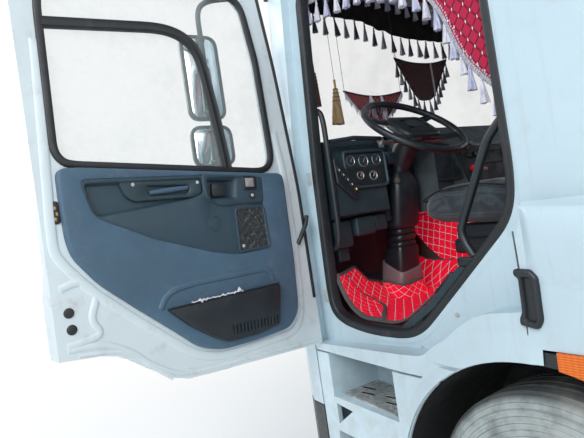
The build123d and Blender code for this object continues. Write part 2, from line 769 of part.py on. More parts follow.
def headboard():
    """Upright frame and panel behind the cab, pierced to see through the rear window."""
    x0 = deckX[0] - 46
    x1 = deckX[0] - 0.5
    frame = box(x0, x1, -deckHalf, deckHalf, 2110, 2160)
    for y in (-deckHalf + 30, -420, 420, deckHalf - 30):
        frame += box(x0, x1, y - 30, y + 30, 1000, 2110)
    frame += box(x0 + 12, x1 - 12, -deckHalf + 30, deckHalf - 30, 1010, 1760)
    for z in range(1820, 2100, 70):
        frame += box(x0 + 16, x1 - 16, -deckHalf + 30, deckHalf - 30, z, z + 18)
    return frame


boardSpans = {"front": (640, 2928), "rear": (2988, 5272)}
postSpans = [(584, 632), (2936, 2980), (5280, 5326)]


def deckPosts():
    """Corner and middle posts that the boards latch to."""
    inner = deckHalf - 30
    posts = [box(x0, x1, inner, deckHalf, deckTop - 1.5, deckTop + 530) for x0, x1 in postSpans]
    return group(*[piece for post in posts for piece in (post, flip(post))])


def ribbedBoard(length, height):
    """Hollow-section board lying along x with four long grooves and three hinge leaves."""
    profile = [(0, 0), (boardThick, 0)]
    for z in range(95, height - 60, 110):
        profile += [(boardThick, z), (boardThick - 6, z + 5), (boardThick - 6, z + 17), (boardThick, z + 22)]
    profile += [(boardThick, height), (0, height)]
    return crossSheet(profile, 0, length)


def boardHinges(length):
    leaves = [box(x - 30, x + 30, boardThick, boardThick + 8, -6, 60) for x in (250, length / 2, length - 250)]
    return leaves[0] + leaves[1] + leaves[2]


def sideBoard(name):
    x0, x1 = boardSpans[name]
    board = ribbedBoard(x1 - x0, boardHeight) + boardHinges(x1 - x0)
    return Pos(x0, boardY, deckTop + 6) * board


def tailboard():
    length = 2 * 1180
    board = ribbedBoard(length, boardHeight) + boardHinges(length)
    return Pos(deckX[1] + boardGap, 0, deckTop + 6) * Rot(0, 0, -90) * Pos(-length / 2, 0, 0) * board


def markerLamps():
    """Side markers on the guards and rails, and the rear light clusters."""
    side = box(82, 168, 1146.5, 1158, 972, 1034) - rodY(0, 1100, 1300, axleZ, archRadius + 0.5)
    rail = [box(x, x + 80, deckHalf, deckHalf + 10, 1030, 1066) for x in (1900, 3600, 5100)]
    rear = box(5330.5, 5352, 820, 1140, 490, 590)
    right = [side, *rail, rear]
    return group(*right, *[flip(piece) for piece in right])


def build():
    pieces = {}

    pieces["cab_sides"] = bothSides(cabSide())
    pieces["cab_front"] = cabFront()
    pieces["cab_roof"] = shell & box(-1500, cabRear + 1, -1300, 1300, headerZ, 2800)
    pieces["cab_rear_wall"] = cabRearWall()
    pieces["cab_floor"] = cabFloor()
    pieces["engine_tunnel"] = engineTunnel()
    pieces["cab_glass"] = cabGlass()
    pieces["grille"] = grille()
    pieces["mirrors"] = mirrors()

    pieces["dashboard"] = dashboard()
    pieces["steering_column"] = steeringColumn()
    pieces["steering_wheel"] = steeringWheel()
    pieces["seats"] = group(seat(-805, -330), seat(330, 1000))
    pieces["floor_mat"] = floorMat()
    pieces["grab_handles"] = grabHandles()
    pieces["front_valance"] = frontValance()
    pieces["windscreen_hangings"] = group(pennantSheets(), littleBrooms())

    swing = Pos(hingeX, hingeY, 0) * Rot(0, 0, -doorOpen) * Pos(-hingeX, -hingeY, 0)
    for name, piece in doorPieces().items():
        pieces[f"door_left_{name}"] = swing * piece
        pieces[f"door_right_{name}"] = flip(piece)

    pieces["chassis_frame"] = group(chassisRails(), crossmembers())
    pieces["drive_train"] = driveTrain()
    pieces["front_axle"] = frontAxle()
    pieces["rear_axle"] = rearAxle()
    pieces["fuel_tank"] = fuelTank()
    pieces["battery_box"] = batteryBox()
    pieces["exhaust"] = exhaust()
    pieces["bumper"] = bumper()
    pieces["front_apron"] = frontApron()
    pieces["headlamps"] = headlamps()
    pieces["step_housings"] = bothSides(stepHousing())
    pieces["step_plates"] = bothSides(stepPlate())
    pieces["mudguards"] = mudguards()
    pieces["guard_bars"] = group(sideGuards(), underrunBar())
    pieces["marker_lamps"] = markerLamps()

    pieces["tyre_front_right"] = tyre(frontTyreY)
    pieces["rim_front_right"] = frontRim(frontTyreY)
    pieces["knuckle_right"] = knuckle()
    pieces["tyres_rear_right"] = group(*[Pos(wheelBase, 0, 0) * tyre(y) for y in rearTyreY])
    pieces["rims_rear_right"] = rearRim()
    for name in ("tyre_front", "rim_front", "knuckle", "tyres_rear", "rims_rear"):
        pieces[f"{name}_left"] = flip(pieces[f"{name}_right"])

    pieces["deck_floor"] = deckFloor()
    pieces["deck_frame"] = group(deckFrame(), deckPosts())
    pieces["headboard"] = headboard()
    for name in boardSpans:
        pieces[f"side_board_{name}_right"] = sideBoard(name)
        pieces[f"side_board_{name}_left"] = flip(sideBoard(name))
    pieces["tailboard"] = tailboard()
    return pieces


for node, shape in build().items():
    export_step(Pos(-boxMidX, -boxMidY, 0) * shape, f"parts/{node}.step")
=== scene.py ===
import bpy
import bmesh
import math
import numpy as np
from mathutils import Matrix


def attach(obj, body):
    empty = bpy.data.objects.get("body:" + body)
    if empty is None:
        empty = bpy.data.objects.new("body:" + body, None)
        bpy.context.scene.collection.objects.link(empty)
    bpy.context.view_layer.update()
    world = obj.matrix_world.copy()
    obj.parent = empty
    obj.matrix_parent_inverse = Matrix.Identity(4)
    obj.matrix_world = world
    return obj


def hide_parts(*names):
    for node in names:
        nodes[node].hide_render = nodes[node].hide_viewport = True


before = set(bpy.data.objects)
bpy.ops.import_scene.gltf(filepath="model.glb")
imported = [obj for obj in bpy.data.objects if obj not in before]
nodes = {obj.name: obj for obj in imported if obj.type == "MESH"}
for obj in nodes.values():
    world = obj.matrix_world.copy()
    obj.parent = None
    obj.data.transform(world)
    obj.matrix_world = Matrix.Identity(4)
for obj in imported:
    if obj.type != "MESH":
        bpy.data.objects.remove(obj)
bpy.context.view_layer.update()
print("frame loaded with", len(nodes), "nodes")

# Middle of the front axle on the ground, in the frame. Sizes below are millimetres from there:
# x to the rear, y to the right, z up, with the driver on the minus y side.
axleAt = np.array([-2.014215, 0.352126, 0.0])
# height of the axles, and the distance between them
axleHigh = 447.5
wheelbase = 3660
# distance of the cab's outer skin from the middle
skinAt = 1150
seed = 11


def toRow(points):
    return np.asarray(points, float) / 1000 + axleAt


def spread(value, like):
    # one value or many in the shape of another array
    return np.broadcast_to(np.asarray(value, float), np.shape(like))


def allRound(count):
    # angles evenly round a circle
    return np.linspace(0, 2 * math.pi, count, endpoint=False)


def onLevel(line, axis, at):
    # a flat line in three dimensions, at one distance along the axis that it lacks
    return np.insert(line, axis, at, axis=1)


# ---- shapes: each is (points in metres, faces) ----


def gridShape(grid, wrapRows=False, wrapColumns=False, caps=False):
    # a grid of points joined square by square, closed round either way
    rows, columns = grid.shape[:2]
    i, j = np.meshgrid(
        np.arange(rows if wrapRows else rows - 1),
        np.arange(columns if wrapColumns else columns - 1),
        indexing="ij",
    )
    down, across = (i + 1) % rows, (j + 1) % columns
    quads = np.stack(
        [i * columns + j, i * columns + across, down * columns + across, down * columns + j], -1
    )
    faces = quads.reshape(-1, 4).tolist()
    if caps:
        faces.append(list(range(columns))[::-1])
        faces.append([(rows - 1) * columns + k for k in range(columns)])
    return grid.reshape(-1, 3), faces


def joinShapes(shapes):
    points, faces, start = [], [], 0
    for verts, polys in shapes:
        points.append(np.asarray(verts))
        faces += [[k + start for k in poly] for poly in polys]
        start += len(verts)
    return np.concatenate(points), faces


def roundPath(points, radius, closed=False, steps=6):
    # corners replaced by parabolic arcs that start and end a radius away from them
    points = np.asarray(points, float)
    count = len(points)
    out = []
    for k in range(count):
        here = points[k]
        if not closed and k in (0, count - 1):
            out.append(here[None])
            continue
        back, fore = points[k - 1] - here, points[(k + 1) % count] - here
        lengthBack, lengthFore = np.linalg.norm(back), np.linalg.norm(fore)
        start = here + back / lengthBack * min(radius, lengthBack * 0.48)
        end = here + fore / lengthFore * min(radius, lengthFore * 0.48)
        t = np.linspace(0, 1, steps)[:, None]
        out.append((1 - t) ** 2 * start + 2 * t * (1 - t) * here + t**2 * end)
    return np.concatenate(out)


def resample(path, step, closed=False):
    # points at even distances along a path
    path = np.asarray(path, float)
    if closed:
        path = np.concatenate([path, path[:1]])
    run = np.concatenate([[0], np.cumsum(np.linalg.norm(np.diff(path, axis=0), axis=1))])
    count = max(2, int(round(run[-1] / step)) + 1)
    at = np.linspace(0, run[-1], count)
    even = np.stack([np.interp(at, run, path[:, k]) for k in range(path.shape[1])], -1)
    return even[:-1] if closed else even


def pathFrames(path, up, closed=False):
    # along, across and upwards directions at each point of a path
    if closed:
        along = np.roll(path, -1, 0) - np.roll(path, 1, 0)
    else:
        along = np.gradient(path, axis=0)
    along /= np.linalg.norm(along, axis=1)[:, None] + 1e-12
    across = np.cross(along, np.broadcast_to(np.asarray(up, float), path.shape))
    across /= np.linalg.norm(across, axis=1)[:, None] + 1e-12
    return along, across, np.cross(across, along)


def sweepShape(path, section, up=(0, 0, 1), closed=False, scale=None):
    # a flat outline carried along a path, its own two directions across it and upwards
    path = np.asarray(path, float)
    section = np.asarray(section, float)
    _, across, lift = pathFrames(path, up, closed)
    size = np.ones(len(path)) if scale is None else np.asarray(scale, float)
    grid = (
        path[:, None]
        + section[None, :, :1] * across[:, None] * size[:, None, None]
        + section[None, :, 1:] * lift[:, None] * size[:, None, None]
    )
    return gridShape(grid, wrapRows=closed, wrapColumns=True, caps=not closed)


def circle(radius, sides=12, squash=1.0):
    turn = allRound(sides)
    return np.stack([np.cos(turn) * radius, np.sin(turn) * radius * squash], -1)


def tubeShape(path, radius, sides=12, up=(0, 0, 1), closed=False, scale=None):
    return sweepShape(path, circle(radius, sides), up, closed, scale)


def latheShape(profile, centre, axis=(0, 1, 0), sides=48, wrap=False):
    # (distance along the axis, radius) turned about it
    axis = np.asarray(axis, float) / np.linalg.norm(axis)
    other = np.cross(axis, (0, 0, 1) if abs(axis[2]) < 0.9 else (1, 0, 0))
    other /= np.linalg.norm(other)
    third = np.cross(axis, other)
    profile = np.asarray(profile, float)
    turn = allRound(sides)
    round_ = np.cos(turn)[:, None] * other + np.sin(turn)[:, None] * third
    grid = (
        np.asarray(centre, float)
        + profile[:, None, :1] * axis
        + profile[:, None, 1:] * round_[None]
    )
    return gridShape(grid, wrapRows=wrap, wrapColumns=True, caps=not wrap)


def insetOutline(outline, amount):
    # every corner moved inwards along the mitre of its two edges
    outline = np.asarray(outline, float)
    back = outline - np.roll(outline, 1, 0)
    fore = np.roll(outline, -1, 0) - outline
    normals = []
    for edge in (back, fore):
        edge = edge / (np.linalg.norm(edge, axis=1)[:, None] + 1e-12)
        normals.append(np.stack([-edge[:, 1], edge[:, 0]], -1))
    x, y = outline[:, 0], outline[:, 1]
    sign = 1 if np.sum(x * np.roll(y, -1) - y * np.roll(x, -1)) > 0 else -1
    mitre = (normals[0] + normals[1]) / (1 + np.sum(normals[0] * normals[1], 1))[:, None].clip(0.3)
    return outline + sign * amount * mitre


def ringRows(outline, rows, plane):
    # the outline at each (inset, depth), one ring per row
    rings = [plane(ring[:, 0], ring[:, 1], depth) for ring, depth in
             ((insetOutline(outline, inset), depth) for inset, depth in rows)]
    return np.stack(rings)


def stackShape(outline, rows, plane, caps=True):
    return gridShape(ringRows(outline, rows, plane), wrapColumns=True, caps=caps)


def flatShape(rings, depth, plane):
    # a flat face between an outer ring and the rings of its holes
    mesh = bmesh.new()
    for ring in rings:
        verts = [mesh.verts.new((a, b, 0)) for a, b in ring]
        for k in range(len(verts)):
            mesh.edges.new((verts[k - 1], verts[k]))
    bmesh.ops.triangle_fill(mesh, use_beauty=True, edges=mesh.edges[:])
    mesh.verts.index_update()
    flat = np.array([v.co[:2] for v in mesh.verts])
    faces = [[v.index for v in face.verts] for face in mesh.faces]
    mesh.free()
    return plane(flat[:, 0], flat[:, 1], depth), faces


def reliefShape(outline, edge, holes, plane, backCap=True):
    # a panel with a rounded edge, flat face and shaped recesses
    level = edge[-1][1]
    shapes = [stackShape(outline, edge, plane, caps=False)]
    rings = [insetOutline(outline, edge[-1][0])]
    for hole, rows, floor in holes:
        rings.append(insetOutline(hole, rows[0][0]))
        shapes.append(stackShape(hole, rows, plane, caps=False))
        if floor:
            shapes.append(flatShape([insetOutline(hole, rows[-1][0])], rows[-1][1], plane))
    shapes.append(flatShape(rings, level, plane))
    if backCap:
        back = [insetOutline(outline, edge[0][0])]
        back += [insetOutline(hole, rows[-1][0]) for hole, rows, floor in holes if not floor]
        shapes.append(flatShape(back, edge[0][1], plane))
    return joinShapes(shapes)


def roundedBox(low, high, bevel, steps=3):
    # a block whose edges and corners are rounded: a rounded outline stacked with a rounded edge
    low, high = np.minimum(low, high), np.maximum(low, high)
    outline = roundPath(
        [(low[0], low[1]), (high[0], low[1]), (high[0], high[1]), (low[0], high[1])], bevel, True,
        steps + 2
    )
    turn = np.linspace(0, math.pi / 2, steps + 1)
    rows = [(bevel * (1 - math.sin(a)), low[2] + bevel * (1 - math.cos(a))) for a in turn]
    rows += [(bevel * (1 - math.sin(a)), high[2] - bevel * (1 - math.cos(a))) for a in turn[::-1]]
    return stackShape(outline, rows, lambda a, b, d: np.stack([a, b, np.full_like(a, d)], -1))


def mapShape(shape, change):
    return change(np.asarray(shape[0], float)), shape[1]


def boxAt(low, high, bevel):
    # a rounded box given in millimetres from the axle
    return mapShape(roundedBox(low, high, bevel), toRow)


def makePiece(
    name, shape, material, body, sharp=38, uv=None, weld=1e-5, replaces=(), slotName=None
):
    points, faces = shape
    mesh = bpy.data.meshes.new(name)
    mesh.from_pydata(np.asarray(points).tolist(), [], faces)
    if uv is not None:
        layer = mesh.uv_layers.new(name="UVMap")
        corner = np.empty(len(mesh.loops), np.int32)
        mesh.loops.foreach_get("vertex_index", corner)
        layer.data.foreach_set("uv", np.asarray(uv, np.float32)[corner].ravel())
    tidy = bmesh.new()
    tidy.from_mesh(mesh)
    if weld:
        bmesh.ops.remove_doubles(tidy, verts=tidy.verts[:], dist=weld)
    bmesh.ops.recalc_face_normals(tidy, faces=tidy.faces[:])
    tidy.to_mesh(mesh)
    tidy.free()
    mesh.shade_smooth()
    mesh.set_sharp_from_angle(angle=math.radians(sharp))
    piece = bpy.data.objects.new(name, mesh)
    bpy.context.scene.collection.objects.link(piece)
    mesh.materials.append(material)
    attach(piece, body)
    if replaces:
        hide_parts(*replaces)
    return piece


# ---- materials ----


def startMaterial(name):
    material = bpy.data.materials.new(name)
    material.use_nodes = True
    tree = material.node_tree
    tree.nodes.clear()
    output = tree.nodes.new("ShaderNodeOutputMaterial")
    shader = tree.nodes.new("ShaderNodeBsdfPrincipled")
    tree.links.new(shader.outputs[0], output.inputs[0])
    return material, tree, shader


def setInputs(node, values):
    for name, value in values.items():
        node.inputs[name].default_value = value


def feed(tree, socket, value):
    if isinstance(value, bpy.types.NodeSocket):
        tree.links.new(value, socket)
    elif value is not None:
        socket.default_value = value


def maths(tree, kind, a, b=None, c=None):
    node = tree.nodes.new("ShaderNodeMath")
    node.operation = kind
    for socket, value in zip(node.inputs, (a, b, c)):
        feed(tree, socket, value)
    return node.outputs[0]


def place(tree, source="Object", scale=(1, 1, 1), turn=(0, 0, 0), move=(0, 0, 0)):
    coords = tree.nodes.new("ShaderNodeTexCoord")
    mapping = tree.nodes.new("ShaderNodeMapping")
    tree.links.new(coords.outputs[source], mapping.inputs[0])
    setInputs(mapping, {"Scale": scale, "Rotation": turn, "Location": move})
    return mapping.outputs[0]


def noise(tree, vector, scale, detail=4, rough=0.55):
    node = tree.nodes.new("ShaderNodeTexNoise")
    tree.links.new(vector, node.inputs["Vector"])
    setInputs(node, {"Scale": scale, "Detail": detail, "Roughness": rough})
    return node.outputs["Fac"]


def ramp(tree, value, low, high, first=0.0, last=1.0):
    # value from low to high becomes first to last, held beyond them
    node = tree.nodes.new("ShaderNodeMapRange")
    node.interpolation_type = "SMOOTHSTEP"
    for socket, number in zip(node.inputs, (value, low, high, first, last)):
        feed(tree, socket, number)
    return node.outputs[0]


def blendColour(tree, share, first, second, kind="MIX"):
    node = tree.nodes.new("ShaderNodeMix")
    node.data_type = "RGBA"
    node.blend_type = kind
    feed(tree, node.inputs[0], share)
    for socket, colour in ((node.inputs[6], first), (node.inputs[7], second)):
        feed(tree, socket, (*colour, 1) if isinstance(colour, tuple) else colour)
    return node.outputs[2]


def bump(tree, shader, height, distance, strength=1.0):
    node = tree.nodes.new("ShaderNodeBump")
    setInputs(node, {"Distance": distance, "Strength": strength})
    tree.links.new(height, node.inputs["Height"])
    tree.links.new(node.outputs[0], shader.inputs["Normal"])


def splitAxes(tree, vector):
    node = tree.nodes.new("ShaderNodeSeparateXYZ")
    tree.links.new(vector, node.inputs[0])
    return node.outputs


def wornFinish(name, colour, dirt, rough=0.4, metal=0.0, grain=300, grainDepth=0.0002, patches=3.0,
               dirtShare=0.35, lowDirt=0.0, streaks=0.0, scratches=0.0, coat=0.0, dark=0.82):
    # a colour that drifts in soft patches, with dirt that gathers low down, streaks and fine grain
    material, tree, shader = startMaterial(name)
    vector = place(tree)
    drift = ramp(tree, noise(tree, vector, patches), 0.3, 0.7)
    tint = tuple(c * dark for c in colour)
    base = blendColour(tree, drift, tint, colour)
    share = ramp(tree, noise(tree, vector, patches * 4.5, 6, 0.7), 0.52, 0.78, 0, dirtShare)
    if lowDirt:
        height = splitAxes(tree, vector)[2]
        low = ramp(tree, height, 1.25, 0.45, 0, lowDirt)
        broken = maths(
            tree, "MULTIPLY", low, ramp(tree, noise(tree, vector, 14, 6, 0.7), 0.35, 0.7)
        )
        share = maths(tree, "MAXIMUM", share, broken)
    base = blendColour(tree, share, base, dirt)
    if streaks:
        run = noise(tree, place(tree, scale=(38, 38, 1.6)), 1.0, 4, 0.6)
        base = blendColour(tree, ramp(tree, run, 0.56, 0.75, 0, streaks), base, dirt)
    if scratches:
        cut = noise(tree, place(tree, scale=(9, 9, 160), turn=(0.5, 0.35, 0)), 1.0, 3, 0.5)
        base = blendColour(
            tree, ramp(tree, cut, 0.66, 0.72, 0, scratches), base,
            tuple(min(1, c * 1.6 + 0.05) for c in colour)
        )
    tree.links.new(base, shader.inputs["Base Color"])
    feed(
        tree, shader.inputs["Roughness"],
        ramp(tree, noise(tree, vector, patches * 7), 0.3, 0.7, rough * 0.85, min(1, rough * 1.2))
    )
    setInputs(shader, {"Metallic": metal, "Coat Weight": coat})
    bump(tree, shader, noise(tree, vector, grain, 2), grainDepth)
    return material


def glassFinish(name, colour, alpha, rough=0.02):
    material, tree, shader = startMaterial(name)
    haze = ramp(tree, noise(tree, place(tree), 5, 6, 0.7), 0.35, 0.8, alpha * 0.75, alpha * 1.35)
    shader.inputs["Base Color"].default_value = (*colour, 1)
    tree.links.new(haze, shader.inputs["Alpha"])
    setInputs(shader, {"Roughness": rough, "IOR": 1.5})
    return material


def quiltFinish(name, colour, shadow, thread, cell, kind, sheen=0.3, threadWidth=0.0016, glow=0.0):
    # padded diamonds with thread along their edges, or bars of thread where they meet
    material, tree, shader = startMaterial(name)
    uv = splitAxes(tree, place(tree, "UV"))
    a = maths(tree, "DIVIDE", uv[0], cell[0])
    b = maths(tree, "DIVIDE", uv[1], cell[1])
    p, q = maths(tree, "ADD", a, b), maths(tree, "SUBTRACT", a, b)
    nearest = maths(tree, "MINIMUM", *[maths(tree, "PINGPONG", value, 0.5) for value in (p, q)])
    dimple = ramp(tree, nearest, 0.0, 0.16)
    weave = noise(tree, place(tree, "UV", scale=(1400, 1400, 1)), 1.0, 2)
    base = blendColour(tree, dimple, shadow, colour)
    base = blendColour(tree, ramp(tree, weave, 0.35, 0.7, 0, 0.35), base, shadow)
    if kind == "lines":
        width = threadWidth / min(cell)
        dash = maths(tree, "PINGPONG", maths(tree, "MULTIPLY", uv[1], 190), 0.5)
        onLine = maths(
            tree, "MULTIPLY", ramp(tree, nearest, width * 0.5, width, 1, 0),
            ramp(tree, dash, 0.05, 0.15, 0.35, 1)
        )
    else:
        # bars upright on the meeting points
        along = maths(tree, "PINGPONG", b, 0.5)
        beside = maths(tree, "PINGPONG", a, 0.5)
        bar = maths(
            tree, "MULTIPLY", ramp(tree, beside, 0.030, 0.045, 1, 0),
            ramp(tree, along, 0.075, 0.10, 1, 0)
        )
        odd = maths(
            tree, "MULTIPLY",
            ramp(
                tree, maths(tree, "ABSOLUTE", maths(tree, "SUBTRACT", beside, 0.5)), 0.030, 0.045,
                1, 0
            ),
            ramp(
                tree, maths(tree, "ABSOLUTE", maths(tree, "SUBTRACT", along, 0.5)), 0.075, 0.10, 1,
                0
            )
        )
        onLine = maths(tree, "MAXIMUM", bar, odd)
    base = blendColour(tree, onLine, base, thread)
    tree.links.new(base, shader.inputs["Base Color"])
    setInputs(shader, {"Roughness": 0.7, "Specular IOR Level": 0.12, "Sheen Weight": sheen})
    # glow: emission in the cloth's own colour, painted light that brightens it though cloth is no
    # lamp
    if glow:
        tree.links.new(base, shader.inputs["Emission Color"])
        shader.inputs["Emission Strength"].default_value = glow
    height = maths(
        tree, "ADD", maths(tree, "MULTIPLY", dimple, 0.8), maths(tree, "MULTIPLY", weave, 0.12)
    )
    bump(tree, shader, height, 0.003)
    return material


def threadFinish(name, colour, shade, stretch=(260, 260, 9), rough=0.75):
    # hanging threads: fine streaks that run up and down
    material, tree, shader = startMaterial(name)
    streak = noise(tree, place(tree, scale=stretch), 1.0, 4, 0.7)
    tree.links.new(
        blendColour(tree, ramp(tree, streak, 0.35, 0.65), shade, colour),
        shader.inputs["Base Color"]
    )
    setInputs(shader, {"Roughness": rough, "Sheen Weight": 0.4})
    bump(tree, shader, streak, 0.002)
    return material


def tyreFinish(name, axleX):
    # black rubber with rings of dust on its sides, by distance from the axle
    material, tree, shader = startMaterial(name)
    at = place(tree, move=(-axleX, 0, -axleHigh / 1000))
    axes = splitAxes(tree, at)
    radius = maths(
        tree, "SQRT",
        maths(
            tree, "ADD", maths(tree, "MULTIPLY", axes[0], axes[0]),
            maths(tree, "MULTIPLY", axes[2], axes[2])
        )
    )
    rings = maths(tree, "PINGPONG", maths(tree, "MULTIPLY", radius, 55), 0.5)
    dust = noise(tree, at, 9, 7, 0.7)
    share = maths(
        tree, "MULTIPLY", ramp(tree, dust, 0.30, 0.62, 0.45, 1),
        ramp(tree, radius, 0.440, 0.415, 0.12, 0.92)
    )
    base = blendColour(tree, share, (0.026, 0.028, 0.030), (0.43, 0.49, 0.49))
    base = blendColour(tree, ramp(tree, rings, 0.10, 0.02, 0, 0.5), base, (0.012, 0.012, 0.013))
    patch = ramp(tree, noise(tree, at, 3.2, 5), 0.5, 0.7, 0, 0.5)
    base = blendColour(tree, patch, base, (0.46, 0.46, 0.43))
    tree.links.new(base, shader.inputs["Base Color"])
    shader.inputs["Roughness"].default_value = 0.82
    bump(tree, shader, noise(tree, at, 240, 3), 0.0006)
    return material


def galvanisedFinish(name):
    material, tree, shader = startMaterial(name)
    vector = place(tree)
    spangle = tree.nodes.new("ShaderNodeTexVoronoi")
    tree.links.new(vector, spangle.inputs["Vector"])
    spangle.inputs["Scale"].default_value = 70
    tone = ramp(tree, spangle.outputs["Color"], 0.1, 0.9)
    base = blendColour(tree, tone, (0.30, 0.31, 0.31), (0.52, 0.53, 0.52))
    base = blendColour(
        tree, ramp(tree, noise(tree, vector, 16, 6, 0.7), 0.55, 0.8, 0, 0.4), base,
        (0.26, 0.24, 0.21)
    )
    tree.links.new(base, shader.inputs["Base Color"])
    setInputs(shader, {"Metallic": 0.55, "Roughness": 0.5})
    bump(tree, shader, noise(tree, vector, 90, 4), 0.0008)
    return material


def lensFinish(name, colour, glow=0.0):
    # moulded lamp lens with a grid of small prisms
    material, tree, shader = startMaterial(name)
    vector = place(tree)
    axes = splitAxes(tree, vector)
    across = maths(
        tree, "PINGPONG", maths(tree, "MULTIPLY", maths(tree, "ADD", axes[0], axes[1]), 60), 0.5
    )
    upwards = maths(tree, "PINGPONG", maths(tree, "MULTIPLY", axes[2], 150), 0.5)
    cells = maths(
        tree, "ADD", maths(tree, "MULTIPLY", across, 0.10), maths(tree, "MULTIPLY", upwards, 0.35)
    )
    tint = tuple(c * 0.55 for c in colour)
    tree.links.new(
        blendColour(tree, ramp(tree, cells, 0.0, 0.2), tint, colour), shader.inputs["Base Color"]
    )
    setInputs(
        shader,
        {
            "Roughness": 0.28, "Coat Weight": 0.15, "Emission Color": (*colour, 1),
            "Emission Strength": glow
        }
    )
    bump(tree, shader, cells, 0.003)
    return material


def meshClothFinish(name, colour, shade, cell=0.0035):
    # woven seat or mesh cloth
    material, tree, shader = startMaterial(name)
    vector = place(tree)
    axes = splitAxes(tree, vector)
    warp = maths(
        tree, "PINGPONG", maths(tree, "DIVIDE", maths(tree, "ADD", axes[0], axes[2]), cell), 0.5
    )
    weft = maths(tree, "PINGPONG", maths(tree, "DIVIDE", axes[1], cell), 0.5)
    knit = maths(tree, "MULTIPLY", warp, weft)
    drift = noise(tree, vector, 11, 6, 0.7)
    base = blendColour(tree, ramp(tree, knit, 0, 0.2), shade, colour)
    base = blendColour(
        tree, ramp(tree, drift, 0.45, 0.8, 0, 0.6), base, tuple(c * 1.7 for c in colour)
    )
    tree.links.new(base, shader.inputs["Base Color"])
    setInputs(shader, {"Roughness": 0.95, "Sheen Weight": 0.35})
    bump(tree, shader, maths(tree, "ADD", knit, maths(tree, "MULTIPLY", drift, 0.6)), 0.0016)
    return material


dirtBrown = (0.20, 0.165, 0.125)
cabPaint = wornFinish(
    "cabPaint", (0.530, 0.670, 0.745), (0.36, 0.35, 0.30), rough=0.34, dirtShare=0.20, lowDirt=0.45,
    streaks=0.16, grainDepth=0.00006, coat=0.25, dark=0.94
)
framePaint = wornFinish(
    "framePaint", (0.66, 0.75, 0.79), (0.34, 0.31, 0.27), rough=0.42, dirtShare=0.40, lowDirt=0.25,
    grainDepth=0.00008, dark=0.92
)
innerPaint = wornFinish(
    "innerPaint", (0.075, 0.063, 0.054), (0.22, 0.18, 0.13), rough=0.8, dirtShare=0.7, patches=9
)
trimBlue = wornFinish(
    "trimBlue", (0.064, 0.125, 0.190), (0.14, 0.18, 0.21), rough=0.5, grain=900, grainDepth=0.00035,
    dirtShare=0.45, patches=4, dark=0.78
)
trimGrey = wornFinish(
    "trimGrey", (0.025, 0.056, 0.080), (0.085, 0.105, 0.120), rough=0.5, grain=900,
    grainDepth=0.00035, dirtShare=0.3, scratches=0.15
)
blackPlastic = wornFinish(
    "blackPlastic", (0.014, 0.020, 0.026), (0.080, 0.082, 0.080), rough=0.42, grain=700,
    grainDepth=0.0002, dirtShare=0.3
)
greyPlastic = wornFinish(
    "greyPlastic", (0.040, 0.046, 0.052), (0.15, 0.145, 0.13), rough=0.5, grain=600, dirtShare=0.45
)
blackRubber = wornFinish(
    "blackRubber", (0.013, 0.017, 0.021), (0.080, 0.082, 0.080), rough=0.48, grain=500,
    dirtShare=0.35
)
dashPlastic = wornFinish(
    "dashPlastic", (0.020, 0.044, 0.056), (0.075, 0.090, 0.095), rough=0.55, grain=800,
    grainDepth=0.0003, dirtShare=0.35
)
chassisPaint = wornFinish(
    "chassisPaint", (0.055, 0.058, 0.062), dirtBrown, rough=0.6, dirtShare=0.6, lowDirt=0.5
)
castIron = wornFinish(
    "castIron", (0.045, 0.043, 0.042), (0.17, 0.11, 0.07), rough=0.7, dirtShare=0.7, grain=120,
    grainDepth=0.001
)
alloyBoard = wornFinish(
    "alloyBoard", (0.50, 0.52, 0.54), (0.30, 0.28, 0.25), rough=0.42, metal=0.75, dirtShare=0.35,
    streaks=0.25, grainDepth=0.00005
)
deckSteel = wornFinish(
    "deckSteel", (0.13, 0.14, 0.15), dirtBrown, rough=0.5, dirtShare=0.5, streaks=0.3
)
rimPaint = wornFinish(
    "rimPaint", (0.36, 0.37, 0.38), dirtBrown, rough=0.55, metal=0.2, dirtShare=0.7, lowDirt=0.3
)
steelBright = wornFinish(
    "steelBright", (0.55, 0.55, 0.54), (0.22, 0.19, 0.16), rough=0.35, metal=0.9, dirtShare=0.4
)
hingePaint = wornFinish(
    "hingePaint", (0.50, 0.53, 0.54), (0.13, 0.09, 0.065), rough=0.6, dirtShare=1.0, patches=40
)
bindingGrey = wornFinish(
    "bindingGrey", (0.085, 0.085, 0.088), (0.16, 0.15, 0.15), rough=0.85, grain=900, dirtShare=0.3
)
blackCloth = wornFinish(
    "blackCloth", (0.006, 0.006, 0.007), (0.015, 0.013, 0.014), rough=0.95, grain=800, dirtShare=0.3
)
gaiterRubber = wornFinish(
    "gaiterRubber", (0.015, 0.018, 0.023), (0.075, 0.073, 0.070), rough=0.33, dirtShare=0.3
)
shroudRose = wornFinish(
    "shroudRose", (0.20, 0.145, 0.155), (0.11, 0.097, 0.102), rough=0.45, dirtShare=0.4
)
stackPlastic = wornFinish(
    "stackPlastic", (0.014, 0.024, 0.030), (0.045, 0.052, 0.055), rough=0.8, grain=800,
    dirtShare=0.3
)
# near-black, partly the arch liner's own black and partly painted shade: it also darkens the wall
# behind the wheel and the tread plates' slots
blackAndPaintedShade = wornFinish(
    "blackAndPaintedShade", (0.006, 0.007, 0.008), (0.030, 0.028, 0.025), rough=0.9, dirtShare=0.5
)
seamDark = wornFinish("seamDark", (0.10, 0.11, 0.11), (0.05, 0.045, 0.04), rough=0.8, dirtShare=0.5)
glassClear = glassFinish("glassClear", (0.55, 0.66, 0.66), 0.16)
screenGlass = glassFinish("screenGlass", (0.50, 0.62, 0.60), 0.12)
mirrorGlass = wornFinish(
    "mirrorGlass", (0.78, 0.82, 0.84), (0.5, 0.52, 0.52), rough=0.06, metal=1.0, dirtShare=0.1,
    grainDepth=0.00001
)
